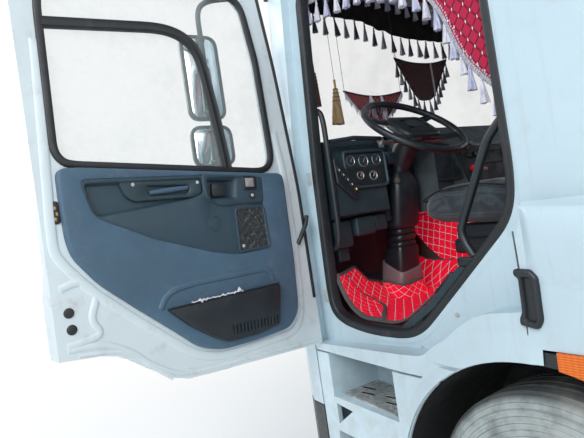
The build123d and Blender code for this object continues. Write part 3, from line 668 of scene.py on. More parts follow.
# the mat cloth's glow of 0.30 is painted light: it brightens the red of the mat, collar and tunnel
# covers, which are no lamps
matQuilt = quiltFinish(
    "matQuilt", (0.93, 0.006, 0.042), (0.30, 0.001, 0.008), (0.95, 0.50, 0.55), (0.052, 0.052),
    "lines", 0.02, 0.0024, 0.30
)
valanceQuilt = quiltFinish(
    "valanceQuilt", (0.50, 0.018, 0.070), (0.16, 0.004, 0.020), (0.90, 0.78, 0.82), (0.042, 0.054),
    "bars", 0.12
)
pennantQuilt = quiltFinish(
    "pennantQuilt", (0.30, 0.014, 0.026), (0.11, 0.004, 0.009), (0.33, 0.03, 0.045), (0.026, 0.022),
    "lines", 0.5
)
pennantDark = quiltFinish(
    "pennantDark", (0.055, 0.007, 0.010), (0.020, 0.004, 0.005), (0.08, 0.014, 0.016),
    (0.030, 0.026), "lines", 0.4
)
fringeWhite = threadFinish("fringeWhite", (0.78, 0.77, 0.82), (0.40, 0.40, 0.52))
fringeLilac = threadFinish("fringeLilac", (0.60, 0.62, 0.78), (0.30, 0.32, 0.48))
fringeDark = threadFinish("fringeDark", (0.06, 0.065, 0.09), (0.012, 0.012, 0.018))
fringeSilver = threadFinish("fringeSilver", (0.34, 0.35, 0.39), (0.12, 0.12, 0.15))
strawPale = threadFinish("strawPale", (0.62, 0.44, 0.22), (0.30, 0.18, 0.07))
strawBrown = threadFinish("strawBrown", (0.22, 0.075, 0.035), (0.09, 0.028, 0.015))
braidSilver = threadFinish(
    "braidSilver", (0.62, 0.63, 0.68), (0.16, 0.16, 0.22), stretch=(300, 300, 300), rough=0.5
)
tyreFront = tyreFinish("tyreFront", axleAt[0])
tyreRear = tyreFinish("tyreRear", axleAt[0] + wheelbase / 1000)
galvanised = galvanisedFinish("galvanised")
lensOrange = lensFinish("lensOrange", (0.86, 0.17, 0.004), 0.03)
lensClear = lensFinish("lensClear", (0.70, 0.74, 0.76))
seatCloth = meshClothFinish("seatCloth", (0.052, 0.076, 0.092), (0.018, 0.025, 0.031))
tornCloth = wornFinish(
    "tornCloth", (0.027, 0.032, 0.036), (0.30, 0.33, 0.345), rough=0.9, dirtShare=0.8, patches=22,
    scratches=0.8
)
brassWorn = wornFinish(
    "brassWorn", (0.45, 0.28, 0.10), (0.12, 0.07, 0.03), rough=0.5, metal=0.6, dirtShare=0.6,
    patches=30
)
plyDeck = wornFinish(
    "plyDeck", (0.16, 0.09, 0.05), (0.26, 0.23, 0.19), rough=0.55, dirtShare=0.7, scratches=0.5,
    grain=260, grainDepth=0.0008
)
print("materials made")

# ---- camera, light and floor ----


def standAt(side, top, back, at):
    # a matrix from three directions and a place
    return Matrix([[side[k], top[k], back[k], at[k]] for k in range(3)] + [[0, 0, 0, 1]])


view = dict(eye=(868.0, -2403.0, 1470.0), yaw=33.48, pitch=-0.3, roll=-8.41, lens=33.13)
yaw, pitch, roll = (math.radians(view[k]) for k in ("yaw", "pitch", "roll"))
ahead = np.array([
    -math.cos(yaw) * math.cos(pitch), math.sin(yaw) * math.cos(pitch), math.sin(pitch)
])
level = np.array([math.sin(yaw), math.cos(yaw), 0.0])
steep = np.cross(level, ahead)
right = math.cos(roll) * level + math.sin(roll) * steep
upward = -math.sin(roll) * level + math.cos(roll) * steep
camera = bpy.data.objects.new("camera", bpy.data.cameras.new("camera"))
bpy.context.scene.collection.objects.link(camera)
camera.data.lens = view["lens"]
camera.data.sensor_width = 36
camera.data.clip_start, camera.data.clip_end = 0.03, 200
eye = toRow(view["eye"])
camera.matrix_world = standAt(right, upward, -ahead, eye)
bpy.context.scene.camera = camera
bpy.context.scene.view_settings.view_transform = "Standard"


def seenDirectly(tree):
    # 1 for rays from the camera, a mirror or glass
    rays = tree.nodes.new("ShaderNodeLightPath")
    return maths(
        tree, "MAXIMUM", rays.outputs["Is Camera Ray"],
        maths(tree, "MAXIMUM", rays.outputs["Is Glossy Ray"], rays.outputs["Is Transmission Ray"]),
    )


world = bpy.data.worlds.new("studio")
bpy.context.scene.world = world
world.use_nodes = True
tree = world.node_tree
back = tree.nodes["Background"]
seen = seenDirectly(tree)
tree.links.new(blendColour(tree, seen, (0.86, 0.94, 1.0), (1.0, 1.0, 1.0)), back.inputs["Color"])
tree.links.new(
    maths(tree, "ADD", maths(tree, "MULTIPLY", seen, 0.59), 0.41), back.inputs["Strength"]
)

floorMaterial, tree, shader = startMaterial("floorPale")
setInputs(shader, {"Base Color": (0.80, 0.80, 0.79, 1), "Roughness": 0.9})
# far out it fades to the backdrop's white for the camera
geometry = tree.nodes.new("ShaderNodeNewGeometry")
length = tree.nodes.new("ShaderNodeVectorMath")
length.operation = "LENGTH"
tree.links.new(geometry.outputs["Position"], length.inputs[0])
plain = tree.nodes.new("ShaderNodeEmission")
blend = tree.nodes.new("ShaderNodeMixShader")
tree.links.new(
    maths(tree, "MULTIPLY", ramp(tree, length.outputs["Value"], 4.2, 8.0), seenDirectly(tree)),
    blend.inputs[0]
)
tree.links.new(shader.outputs[0], blend.inputs[1])
tree.links.new(plain.outputs[0], blend.inputs[2])
output = next(node for node in tree.nodes if node.type == "OUTPUT_MATERIAL")
tree.links.new(blend.outputs[0], output.inputs["Surface"])
floorMesh = bpy.data.meshes.new("floor")
floorMesh.from_pydata(
    [(-60, -60, -0.001), (60, -60, -0.001), (60, 60, -0.001), (-60, 60, -0.001)], [], [(0, 1, 2, 3)]
)
floor = bpy.data.objects.new("floor", floorMesh)
bpy.context.scene.collection.objects.link(floor)
floorMesh.materials.append(floorMaterial)


def softLamp(name, at, towards, size, power, colour):
    lamp = bpy.data.objects.new(name, bpy.data.lights.new(name, "AREA"))
    lamp.data.shape = "DISK"
    lamp.data.size = size
    lamp.data.energy = power
    lamp.data.color = colour
    bpy.context.scene.collection.objects.link(lamp)
    start, end = toRow(at), toRow(towards)
    back_ = (start - end) / np.linalg.norm(start - end)
    side = np.cross((0, 0, 1), back_)
    side /= np.linalg.norm(side)
    top = np.cross(back_, side)
    lamp.matrix_world = standAt(side, top, back_, start)


softLamp("keyLamp", (2600, -6500, 5200), (0, -900, 1200), 4.5, 385, (0.97, 0.985, 1.0))
softLamp("frontLamp", (-6500, -3500, 4200), (-600, 0, 1300), 4.5, 260, (0.93, 0.96, 1.0))
softLamp("rightLamp", (1500, 7500, 4800), (1500, 0, 1000), 5.0, 320, (0.95, 0.97, 1.0))
softLamp("rearLamp", (9500, -1500, 4200), (3500, 0, 1000), 4.5, 260, (1.0, 0.98, 0.95))
print("camera and light set")

# ---- solids that only need a finish ----

finishes = {
    cabPaint: [
        "cab_sides", "cab_front", "cab_roof", "cab_rear_wall", "step_housings", "front_apron"
    ],
    framePaint: ["door_left_shell", "door_right_shell"], innerPaint: ["engine_tunnel"],
    greyPlastic: ["bumper", "battery_box"], screenGlass: ["cab_glass"],
    glassClear: ["door_left_glass", "door_right_glass"],
    blackPlastic: ["mudguards", "grille", "mirrors", "grab_handles", "steering_wheel"],
    dashPlastic: ["dashboard", "steering_column", "cab_floor"], seatCloth: ["seats"],
    matQuilt: ["floor_mat"], blackCloth: ["front_valance", "windscreen_hangings"],
    trimBlue: ["door_left_trim", "door_right_trim"],
    blackRubber: ["door_left_window_rubber", "door_right_window_rubber"],
    chassisPaint: ["chassis_frame", "guard_bars", "exhaust"],
    castIron: ["drive_train", "front_axle", "rear_axle", "knuckle_left", "knuckle_right"],
    alloyBoard: [
        "fuel_tank", "headboard", "tailboard", "side_board_front_left", "side_board_front_right",
        "side_board_rear_left", "side_board_rear_right"
    ],
    deckSteel: ["deck_frame"], plyDeck: ["deck_floor"], lensClear: ["headlamps"],
    lensOrange: ["marker_lamps"], galvanised: ["step_plates"],
    rimPaint: ["rim_front_left", "rim_front_right", "rims_rear_left", "rims_rear_right"],
    tyreFront: ["tyre_front_left", "tyre_front_right"],
    tyreRear: ["tyres_rear_left", "tyres_rear_right"],
}
for material, names in finishes.items():
    for name in names:
        nodes[name].data.materials.clear()
        nodes[name].data.materials.append(material)
print("solids finished")

# ---- the doors ----


def flankPlane(outAt, side):
    # x and z on a plane square to the truck's width, and height outwards from it
    def plane(x, z, height):
        return toRow(np.stack([x, side * (outAt + spread(height, x)), z], -1))

    return plane


def levelPlane(highAt, side):
    # x and y outwards on a level plane, and height above it
    def plane(x, y, height):
        return toRow(np.stack([x, side * y, highAt + spread(height, x)], -1))

    return plane


doorSizes = dict(hinge=(-1040.0, -1112.0), opened=84.0, inner=1062.0)
hingeX, hingeY = doorSizes["hinge"]


def doorPlane(side):
    # x and z of the shut door, and height above its inner skin, opened on the driver's side
    def plane(x, z, height):
        return doorPlace(np.stack([x, spread(height, x) - doorSizes["inner"], z], -1), side)

    return plane


def doorPlace(points, side):
    points = np.array(points, float)
    if side > 0:
        points[..., 1] *= -1
        return toRow(points)
    turn = math.radians(-doorSizes["opened"])
    x = points[..., 0] - hingeX
    y = points[..., 1] - hingeY
    points[..., 0] = hingeX + x * math.cos(turn) - y * math.sin(turn)
    points[..., 1] = hingeY + x * math.sin(turn) + y * math.cos(turn)
    return toRow(points)


def fromHinge(points):
    # distances from the hinge line and heights become x and z of the shut door
    return [(hingeX + u, z) for u, z in points]


def doorOutline(points, bend):
    # a rounded outline from distances to the hinge line
    return roundPath(fromHinge(points), bend, True)


trimLine = [
    (-62, 1716), (-60, 1621), (-62, 1496), (-74, 1440), (-142, 1347), (-256, 1242), (-386, 1128),
    (-452, 1066), (-498, 1046), (-555, 1030), (-711, 1026), (-858, 1034), (-904, 1078),
    (-917, 1119), (-928, 1286), (-934, 1618), (-926, 1650), (-850, 1654), (-119, 1718),
]
armrestLine = [
    (-118, 1683), (-149, 1555), (-344, 1456), (-569, 1375), (-667, 1354), (-822, 1359),
    (-816, 1641), (-556, 1669),
]
pocketLine = [
    (-343, 1223), (-816, 1221), (-802, 1064), (-701, 1050), (-565, 1055), (-510, 1084),
    (-426, 1144),
]
windowLine = [
    (-69, 1773), (-88, 1741), (-117, 1729), (-844, 1665), (-888, 1683), (-906, 1723), (-896, 2110),
    (-862, 2320), (-830, 2356), (-140, 2356), (-104, 2330), (-84, 2236),
]
dividerLine = [
    (-84, 2176), (-500, 2203), (-585, 2180), (-640, 2120), (-660, 1980), (-678, 1830), (-690, 1687)
]
flangeLine = fromHinge([
    (978, 2120), (981, 2049), (1007, 1622), (1015, 1470), (997, 1431), (920, 1330), (805, 1221),
    (678, 1108), (603, 1043), (541, 1016), (471, 1002), (154, 1004), (100, 1050), (87, 1161),
    (77, 1326), (82, 1640), (104, 1820),
])
latchBezel = fromHinge([
    (484, 1669), (216, 1641), (224, 1540), (420, 1544), (472, 1571), (486, 1609)
])
speakerLine = fromHinge([(366, 1532), (226, 1532), (222, 1362), (372, 1362)])


def dressDoor(side, tag):
    plane = doorPlane(side)
    body = f"door_{tag}"

    def round_(profile, u, z):
        # turned on the door's face, at a distance from the hinge and a height
        turned_ = latheShape(profile, (hingeX + u, -doorSizes["inner"], z), (0, 1, 0), 28)
        return mapShape(turned_, lambda p: doorPlace(p, side))

    def rolled(points, bend, step, height, section, closed=False):
        # a section carried along a rounded line, at a height above the inner skin
        line = resample(roundPath(points, bend, closed), step, closed)
        return sweepShape(
            plane(line[:, 0], line[:, 1], height), section, up=doorNormal(side), closed=closed
        )

    trim = roundPath(trimLine, 30, True)
    armrest = roundPath(armrestLine, 34, True)
    latch = doorOutline([(464, 1650), (338, 1644), (352, 1566), (468, 1570)], 14)
    lip = [(0, 28), (3, 27), (6, 22), (7, 16)]
    makePiece(
        f"door_trim_{tag}",
        reliefShape(
            trim, [(0, 0.5), (0, 20), (2, 25), (6, 27.5), (12, 28)], [(armrest, lip, False)], plane
        ),
        trimBlue, body, replaces=(f"door_{tag}_trim",), slotName="trim_blue"
    )

    # armrest panel with a deep cavity, the pull handle's plate in it, and the latch's well
    insert = insetOutline(armrest, 2)
    cavity = doorOutline(
        [(903, 1667), (478, 1657), (476, 1596), (540, 1578), (866, 1553), (896, 1572)], 16
    )
    deep = [(0, 24), (2, 22.5), (5, 17), (8, 8), (11, 4)]
    makePiece(
        f"door_insert_{tag}",
        reliefShape(
            insert, [(0, 2), (0, 20), (2, 23), (6, 24)],
            [(cavity, deep, True), (latch, deep, True)], plane
        ),
        trimGrey, body
    )
    slot = doorOutline(
        [(696, 1648), (532, 1638), (528, 1612), (546, 1598), (682, 1602), (698, 1618)], 12
    )
    gripPlate = doorOutline(
        [(792, 1663), (484, 1653), (484, 1600), (520, 1588), (744, 1592), (772, 1612)], 14
    )
    makePiece(
        f"door_grip_{tag}",
        reliefShape(
            gripPlate, [(0, 3), (0, 15), (3, 19), (8, 20)],
            [(slot, [(0, 20), (3, 18.5), (6, 13), (8, 6)], True)], plane
        ),
        dashPlastic, body
    )
    grip = plane(
        *np.array(
            [[hingeX + u, 1622 + 0.05 * (610 - u), 14] for u in (688, 640, 590, 540)], float
        ).T
    )
    makePiece(
        f"door_grip_bar_{tag}", tubeShape(grip, 0.0095, 14, up=(0, 0, 1), scale=[0.75, 1, 1, 0.75]),
        trimBlue, body
    )

    # latch lever, bezel, switch plate, knob, plug and screws
    lever = doorOutline([(440, 1634), (372, 1631), (380, 1580), (446, 1582)], 12)
    makePiece(
        f"door_lever_{tag}", stackShape(lever, [(0, 4), (0, 15), (2, 18), (6, 19)], plane),
        blackPlastic, body
    )
    frameLine = roundPath(latchBezel, 16, True)
    makePiece(
        f"door_bezel_{tag}",
        reliefShape(
            frameLine, [(0, 24), (1, 28), (4, 30), (8, 30)],
            [(insetOutline(latch, -6), [(0, 30), (3, 29), (6, 24)], False)], plane, backCap=False
        ),
        trimGrey, body
    )
    plate = doorOutline([(312, 1650), (248, 1645), (252, 1592), (314, 1594)], 6)
    button = doorOutline([(302, 1641), (262, 1638), (264, 1604), (303, 1606)], 5)
    makePiece(
        f"door_switch_{tag}",
        joinShapes([
            stackShape(plate, [(0, 29), (0, 32), (2, 33.5), (5, 34)], plane),
            round_([(29, 0.01), (29, 13), (34, 12), (36, 9), (36, 0.01)], 279, 1572)
        ]),
        blackPlastic, body
    )
    makePiece(
        f"switch_button_{tag}", stackShape(button, [(0, 33), (1, 36), (4, 37)], plane), rimPaint,
        body
    )
    studs = [
        round_([(h, 0.01), (h, 6.5), (h + 2.5, 6), (h + 3.5, 4), (h + 3.5, 0.01)], u, z)
        for u, z, h in ((742, 1650, 19), (500, 1640, 19), (348, 1386, 29), (279, 1572, 35))
    ]
    makePiece(f"door_screws_{tag}", joinShapes(studs), hingePaint, body)
    makePiece(
        f"door_plug_{tag}",
        joinShapes([
            round_([(23, 25), (25.5, 25), (26.5, 27), (25.5, 29), (23, 29)], 452, 1484),
            round_([(23, 0.01), (23, 24), (25, 23.4), (25.4, 21), (25.4, 0.01)], 452, 1484)
        ]),
        trimGrey, body
    )

    # speaker: thin frame and torn, streaky cloth
    speaker = roundPath(speakerLine, 20, True)
    makePiece(
        f"door_speaker_{tag}",
        reliefShape(
            speaker, [(0, 23), (0, 30), (2, 32), (5, 32)],
            [(insetOutline(speaker, 7), [(0, 32), (2, 30), (3, 28)], False)], plane, backCap=False
        ),
        trimGrey, body
    )
    u, v = np.meshgrid(np.linspace(-1, 1, 48), np.linspace(-1, 1, 56), indexing="ij")
    rng = np.random.default_rng(seed)
    rough = rng.normal(0, 1, u.shape)
    for _ in range(2):
        rough = (rough + np.roll(rough, 1, 0) + np.roll(rough, 1, 1)) / 3
    crease = np.sin(u * 9 + v * 14 + rough * 1.5) * 1.6 + np.sin(u * 23 - v * 17) * 0.8
    cloth = plane(
        hingeX + 297 + u * 68 + v * 2, 1447 + v * 79, 28 + crease * (1 - u**4) * (1 - v**4) + rough
    )
    makePiece(f"speaker_cloth_{tag}", gridShape(cloth), tornCloth, body)

    # map pocket: a bin that leans out, with a slotted lower corner
    pocket = roundPath(pocketLine, 16, True)

    def leaning(x, z, height):
        # the bin stands further out towards its open top
        share = np.clip((z - 1050) / 172, 0, 1)
        return plane(x, z, 28 + (height - 28) * (0.35 + 0.65 * share))
    slots = []
    for k in range(14):
        x = -790 + k * 15.5
        z = 1069 + k * 0.6
        slots.append((
            np.array([(x, z), (x + 6, z), (x + 6, z + 34), (x, z + 34)]),
            [(0, 62), (1, 56), (1, 52)], True
        ))
    makePiece(
        f"map_pocket_{tag}",
        reliefShape(pocket, [(0, 26), (0, 56), (2, 60), (5, 62)], slots, leaning, backCap=False),
        blackPlastic, body
    )
    edge = np.stack([np.linspace(-810, -350, 60), np.linspace(1224, 1226, 60)], -1)
    rough = rng.normal(0, 1, 60)
    strip = plane(edge[:, 0], edge[:, 1] + rough * 0.6, 60 + rough)
    makePiece(f"pocket_edge_{tag}", tubeShape(strip, 0.0022, 8, up=(0, 0, 1)), blackPlastic, body)
    chips = plane(edge[22:50, 0], edge[22:50, 1] + 3 + rough[22:50] * 2.2, 60 + rough[22:50])
    makePiece(
        f"pocket_chips_{tag}",
        tubeShape(chips, 0.0026, 7, up=(0, 0, 1), scale=0.6 + 0.8 * np.abs(rough[22:50])),
        fringeWhite, body
    )
    crease = fromHinge([
        (712, 1226), (690, 1262), (652, 1282), (560, 1288), (268, 1284), (238, 1268), (232, 1236)
    ])
    makePiece(
        f"pocket_crease_{tag}", rolled(crease, 26, 8, 28.0, circle(0.011, 12, 0.32)), trimBlue, body
    )

    # white pressed bead round the trim
    makePiece(
        f"door_bead_{tag}", rolled(flangeLine, 40, 12, 1.0, circle(0.016, 14, 0.24)), framePaint,
        body
    )

    # window rubber and divider
    section = np.array([
        (-0.013, 0.000), (-0.012, 0.006), (-0.004, 0.009), (0.008, 0.009), (0.013, 0.004),
        (0.012, -0.010), (-0.010, -0.010)
    ])
    rubber = [rolled(windowLine, 34, 12, 0.5, section, True)]
    section = np.array([
        (-0.018, -0.012), (-0.018, 0.004), (-0.014, 0.011), (-0.006, 0.008), (0.003, 0.008),
        (0.012, 0.011), (0.017, 0.004), (0.017, -0.012)
    ])
    rubber.append(rolled(dividerLine, 70, 12, 0.0, section))
    makePiece(
        f"window_rubber_{tag}", joinShapes(rubber), blackRubber, body,
        replaces=(f"door_{tag}_window_rubber",), sharp=50
    )

    # hinges, buffers, check strap and the lock in the door's rear edge
    for k, z in enumerate((1105, 1618)):
        leaf = joinShapes([
            roundedBox((-1030, -1112, z - 26), (-962, -1066, z + 26), 5),
            roundedBox((-1048, -1122, z - 34), (-1030, -1098, z + 34), 6),
            latheShape(
                [(-38, 0.01), (-38, 7), (38, 7), (38, 0.01)], (-1040, -1110, z), (0, 0, 1), 16
            ),
        ])
        makePiece(
            f"door_hinge_{k}_{tag}", mapShape(leaf, lambda p: doorPlace(p, side)), hingePaint, body
        )
    # round buffers, lock slot with its claw, hem and pressed edge of the skin
    buffers = [
        round_([(0, 0.01), (0, 16), (2.5, 15.5), (4.2, 12), (5, 7), (5, 0.01)], u, z)
        for u, z in ((996, 1277), (994, 1225))
    ]
    slotLine = doorOutline([(1000, 1622), (980, 1618), (980, 1552), (1000, 1548)], 6)
    buffers.append(stackShape(slotLine, [(0, 0.4), (0, 3), (2, 3.6)], plane))
    edgeLine = fromHinge([(92, 2372), (56, 2093), (22, 1655), (16, 1560), (15, 1120)])
    buffers.append(rolled(edgeLine, 60, 12, 0.5, circle(0.0085, 10, 0.45)))
    makePiece(f"door_buffers_{tag}", joinShapes(buffers), blackRubber, body)
    claws = [
        stackShape(
            doorOutline([(u, z), (u - 9, z - 2), (u - 8, z - 14), (u + 1, z - 12)], 3),
            [(0, 0.5), (0, 3.2), (1.5, 4)], plane
        )
        for u, z in ((996, 1606), (992, 1588), (998, 1572))
    ]
    makePiece(f"lock_claw_{tag}", joinShapes(claws), brassWorn, body)
    hem = [
        (-56, 1142), (-170, 1128), (-232, 1092), (-292, 1046), (-352, 1003), (-409, 982),
        (-489, 976), (-1016, 943)
    ]
    raised = fromHinge([
        (1012, 1352), (968, 1366), (930, 1354), (900, 1318), (936, 1240), (900, 1188), (1012, 1176)
    ])
    pressed = [
        rolled(hem, 50, 12, 1.0, circle(0.007, 10, 0.5)),
        rolled(raised, 34, 8, 0.5, circle(0.012, 12, 0.34))
    ]
    for line in (
        [(1014, 1166), (900, 1158), (820, 1112), (742, 1030), (690, 985)],
        [(640, 992), (560, 972), (470, 962)]
    ):
        pressed.append(rolled(fromHinge(line), 40, 10, 0.5, circle(0.010, 12, 0.35)))
    makePiece(f"door_pressings_{tag}", joinShapes(pressed), framePaint, body)
    strap = plane(
        np.array([64.0, 40, 14, -2]) + hingeX, np.array([1352.0, 1392, 1430, 1462]),
        np.array([4.0, 12, 14, 8])
    )
    makePiece(f"door_strap_{tag}", tubeShape(strap, 0.009, 12, up=(0, 0, 1)), blackRubber, body)


def doorNormal(side):
    turn = math.radians(-doorSizes["opened"])
    return (-math.sin(turn), math.cos(turn), 0.0) if side < 0 else (0.0, -1.0, 0.0)


for side, tag in ((-1, "left"), (1, "right")):
    dressDoor(side, tag)
print("doors dressed")

# ---- soft hangings ----

# cell, relief and thickness of each quilting, and width, lift and pitch of the braids
valancePadding = ((0.042, 0.054), 5.0, 3.0)
matPadding = ((0.052, 0.052), 5.0, 2.0)
tunnelPadding = ((0.062, 0.062), 5.0, 2.0)
braidSize = (0.011, 0.004, 0.030)
# where the strings start, and half the width of the windscreen's curtains
hookHigh = 2459
screenHalf = 880


def lattice(u, v, cell):
    # nearness to the seams of a diamond lattice, 0 on them
    a, b = u / cell[0], v / cell[1]
    p, q = (a + b) % 1.0, (a - b) % 1.0
    return np.minimum(np.minimum(p, 1 - p), np.minimum(q, 1 - q))


def puff(u, v, cell, height):
    # cushioned relief: height * (1 - (1 - near)^3), near = seam distance over a third of a cell
    near = np.clip(lattice(u, v, cell) / 0.34, 0, 1)
    return height * (1 - (1 - near) ** 3)


def turned(u, v, degrees):
    turn = math.radians(degrees)
    return u * math.cos(turn) - v * math.sin(turn), u * math.sin(turn) + v * math.cos(turn)


def clothShape(place, u, v, front, back):
    # a sheet with a padded face and a plain back, joined round its edge
    top, low = place(u, v, front), place(u, v, np.broadcast_to(back, u.shape))
    rows, columns = u.shape
    rim = np.concatenate([
        np.stack([np.zeros(columns - 1), np.arange(columns - 1)], -1),
        np.stack([np.arange(rows - 1), np.full(rows - 1, columns - 1)], -1),
        np.stack([np.full(columns - 1, rows - 1), np.arange(columns - 1, 0, -1)], -1),
        np.stack([np.arange(rows - 1, 0, -1), np.zeros(rows - 1)], -1),
    ]).astype(int)
    edge = np.stack([top[rim[:, 0], rim[:, 1]], low[rim[:, 0], rim[:, 1]]])
    return joinShapes([gridShape(top), gridShape(low), gridShape(edge, wrapColumns=True)]), rim


def quiltPiece(name, place, u, v, cell, height, thick, material, body, uvTurn=0, **rest):
    wide, tall = turned(u / 1000, v / 1000, uvTurn)
    relief = puff(wide, tall, cell, height)
    shape, rim = clothShape(place, u, v, thick + relief, 0)
    flatUv = np.stack([wide, tall], -1)
    uv = np.concatenate([
        flatUv.reshape(-1, 2), flatUv.reshape(-1, 2), flatUv[rim[:, 0], rim[:, 1]],
        flatUv[rim[:, 0], rim[:, 1]]
    ])
    return makePiece(name, shape, material, body, sharp=60, uv=uv, weld=1e-6, **rest)


def plait(path, width, thick, pitch, up):
    # three strands: across = width sin(k), lift = thick sin(2k), k along the path over the pitch
    path = resample(path, pitch / 10)
    _, across, lift = pathFrames(path, up)
    run = np.arange(len(path)) * 2 * math.pi / 10
    strands = []
    for start in (0, 2 * math.pi / 3, 4 * math.pi / 3):
        line = path + across * (np.sin(run + start) * width)[:, None] + lift * (
            np.sin(2 * (run + start)) * thick
        )[:, None]
        strands.append(tubeShape(line, width * 0.55, 6, up))
    return joinShapes(strands)


def tassel(top, length, radius, rng, sides=18):
    # bead, knot and a skirt whose folds deepen downwards:
    # r = R (0.30 + 0.70 s^0.8) (1 + 0.16 s sin 6a)
    top = np.asarray(top, float)
    bead = np.linspace(0, math.pi, 7)
    parts = [
        latheShape(
            np.stack(
                [
                    -0.055 * length + 0.05 * length * np.cos(bead),
                    0.05 * length * np.sin(bead) + 1e-5
                ],
                -1
            ),
            top, (0, 0, 1), 10
        )
    ]
    knot = [
        (-0.10, 0.02), (-0.12, 0.11), (-0.17, 0.15), (-0.22, 0.13), (-0.25, 0.10), (-0.26, 0.02)
    ]
    parts.append(latheShape([(a * length, b * radius * 2.6) for a, b in knot], top, (0, 0, 1), 12))
    s = np.linspace(0, 1, 9)[:, None]
    turn = allRound(sides)[None]
    ragged = rng.uniform(0.93, 1.0, sides)[None]
    size = radius * (0.30 + 0.70 * s**0.8) * (
        1 + 0.16 * s * np.sin(
            6 * turn + rng.uniform(0, 6)
        ) + 0.05 * s * rng.normal(0, 1, turn.shape)
    )
    drop = -length * (0.24 + 0.76 * s * (1 - s * (1 - ragged)))
    lean = rng.normal(0, 0.035, 2)
    skirt = np.stack([
        top[0] + size * np.cos(turn) + lean[0] * drop,
        top[1] + size * np.sin(turn) + lean[1] * drop,
        top[2] + drop + 0 * turn,
    ], -1)
    parts.append(gridShape(skirt, wrapColumns=True, caps=True))
    return joinShapes(parts)


def tasselRow(name, tops, length, radius, materials, body):
    rng = np.random.default_rng(seed + len(tops))
    pieces = []
    for k, material in enumerate(materials):
        own = [
            tassel(toRow(top), length / 1000, radius / 1000, rng)
            for top in tops[k::len(materials)]
        ]
        if own:
            pieces.append(
                makePiece(f"{name}_{k}", joinShapes(own), material, body, sharp=50, weld=0)
            )
    return pieces


def alongLine(points, gap, start=0.5):
    # places at even distances along a line
    points = np.asarray(points, float)
    run = np.concatenate([[0], np.cumsum(np.linalg.norm(np.diff(points, axis=0), axis=1))])
    at = np.arange(start * gap, run[-1], gap)
    return np.stack([np.interp(at, run, points[:, k]) for k in range(points.shape[1])], -1)


def cutSheet(piece):
    # reads the area of each face of the closed sheet, whose two faces come to about twice the cut's
    # area; the areas are not used further
    mesh = piece.data
    areas = np.empty(len(mesh.polygons))
    mesh.polygons.foreach_get("area", areas)


# side curtains over the windows, deep at the rear pillar
sideEdge = np.array(
    [
        (-930, 2441), (-926, 2372), (-915, 2350), (-760, 2336), (-600, 2318), (-470, 2275),
        (-380, 2215), (-310, 2165), (-230, 2050), (-200, 1960), (-169, 1877), (-110, 1800),
        (-52, 1742)
    ],
    float
)


def sideCurtain(side, tag):
    across = np.linspace(-930, -52, 190)
    smooth = resample(roundPath(sideEdge, 60), 8)
    low = np.interp(across, smooth[:, 0], smooth[:, 1])
    share = np.linspace(0, 1, 96)[:, None]
    z = low[None] + (2442 - low[None]) * share
    x = np.broadcast_to(across[None], z.shape)

    def place(x, z, out):
        return toRow(np.stack([x, side * (1012 - out), z], -1))

    quilt = quiltPiece(f"side_curtain_{tag}", place, x, z, *valancePadding, valanceQuilt, "cab")
    braidLine = onLevel(smooth - (0, 4), 1, side * 1004.0)
    trimPieces = [
        makePiece(
            f"side_braid_{tag}", plait(toRow(braidLine), *braidSize, (0, side, 0)), braidSilver,
            "cab", sharp=60, weld=0
        )
    ]
    tops = alongLine(braidLine[braidLine[:, 2] < 2420] - (0, 0, 12), 60, 0.4)
    trimPieces += tasselRow(f"side_tassels_{tag}", tops, 88, 14, (fringeWhite, fringeLilac), "cab")
    cutSheet(quilt)


for side, tag in ((-1, "left"), (1, "right")):
    sideCurtain(side, tag)

# curtains over the windscreen: a quilted one above, a plain black one below it
across = np.linspace(-screenHalf, screenHalf, 300)
upperLow = 2532 - 66 * np.exp(-((across / 330) ** 2)) - 6 * np.cos(across / 140)
share = np.linspace(0, 1, 22)[:, None]
z = upperLow[None] + (2596 - upperLow[None]) * share
y = np.broadcast_to(across[None], z.shape)
upper = quiltPiece(
    "upper_curtain", lambda a, b, out: toRow(np.stack([-1052 + out, a, b], -1)), y, z,
    *valancePadding, valanceQuilt, "cab"
)
line = np.stack([np.full(len(across), -1040.0), across, upperLow - 3], -1)
braid = makePiece(
    "upper_braid", plait(toRow(line), *braidSize, (1, 0, 0)), braidSilver, "cab", sharp=60, weld=0
)
tassels = tasselRow(
    "upper_tassels", alongLine(line - (0, 0, 12), 66), 86, 14, (fringeWhite, fringeLilac), "cab"
)
cutSheet(upper)

frontEdge = [
    (-880, 2378), (-699, 2367), (-560, 2362), (-500, 2344), (-445, 2322), (-415, 2326),
    (-340, 2302), (-200, 2292), (0, 2290)
]
frontEdge += [(-y, z) for y, z in frontEdge[-2::-1]]
edge = resample(roundPath(frontEdge, 26), 5)
across = np.linspace(-screenHalf, screenHalf, 320)
low = np.interp(across, edge[:, 0], edge[:, 1])
share = np.linspace(0, 1, 26)[:, None]
z = low[None] + (2458 - low[None]) * share
y = np.broadcast_to(across[None], z.shape)
gathers = 3.2 * np.sin(y / 13 + 2 * np.sin(y / 90)) * (0.35 + 0.65 * (1 - share))


def blackPlace(a, b, out):
    return toRow(np.stack([-1064 + out + gathers, a, b], -1))


shape, _ = clothShape(blackPlace, y, z, np.full(y.shape, 1.6), 0)
black = makePiece(
    "black_curtain", shape, blackCloth, "cab", sharp=60, weld=1e-6, replaces=("front_valance",)
)
makePiece(
    "curtain_rod", tubeShape(toRow([(-1064, -900, 2461), (-1064, 900, 2461)]), 0.006, 16),
    blackPlastic, "cab"
)
line = np.stack([np.full(len(across), -1063.0), across, low - 1], -1)
tassels = tasselRow("black_tassels", alongLine(line, 62), 92, 13, (fringeDark, fringeSilver), "cab")
cutSheet(black)


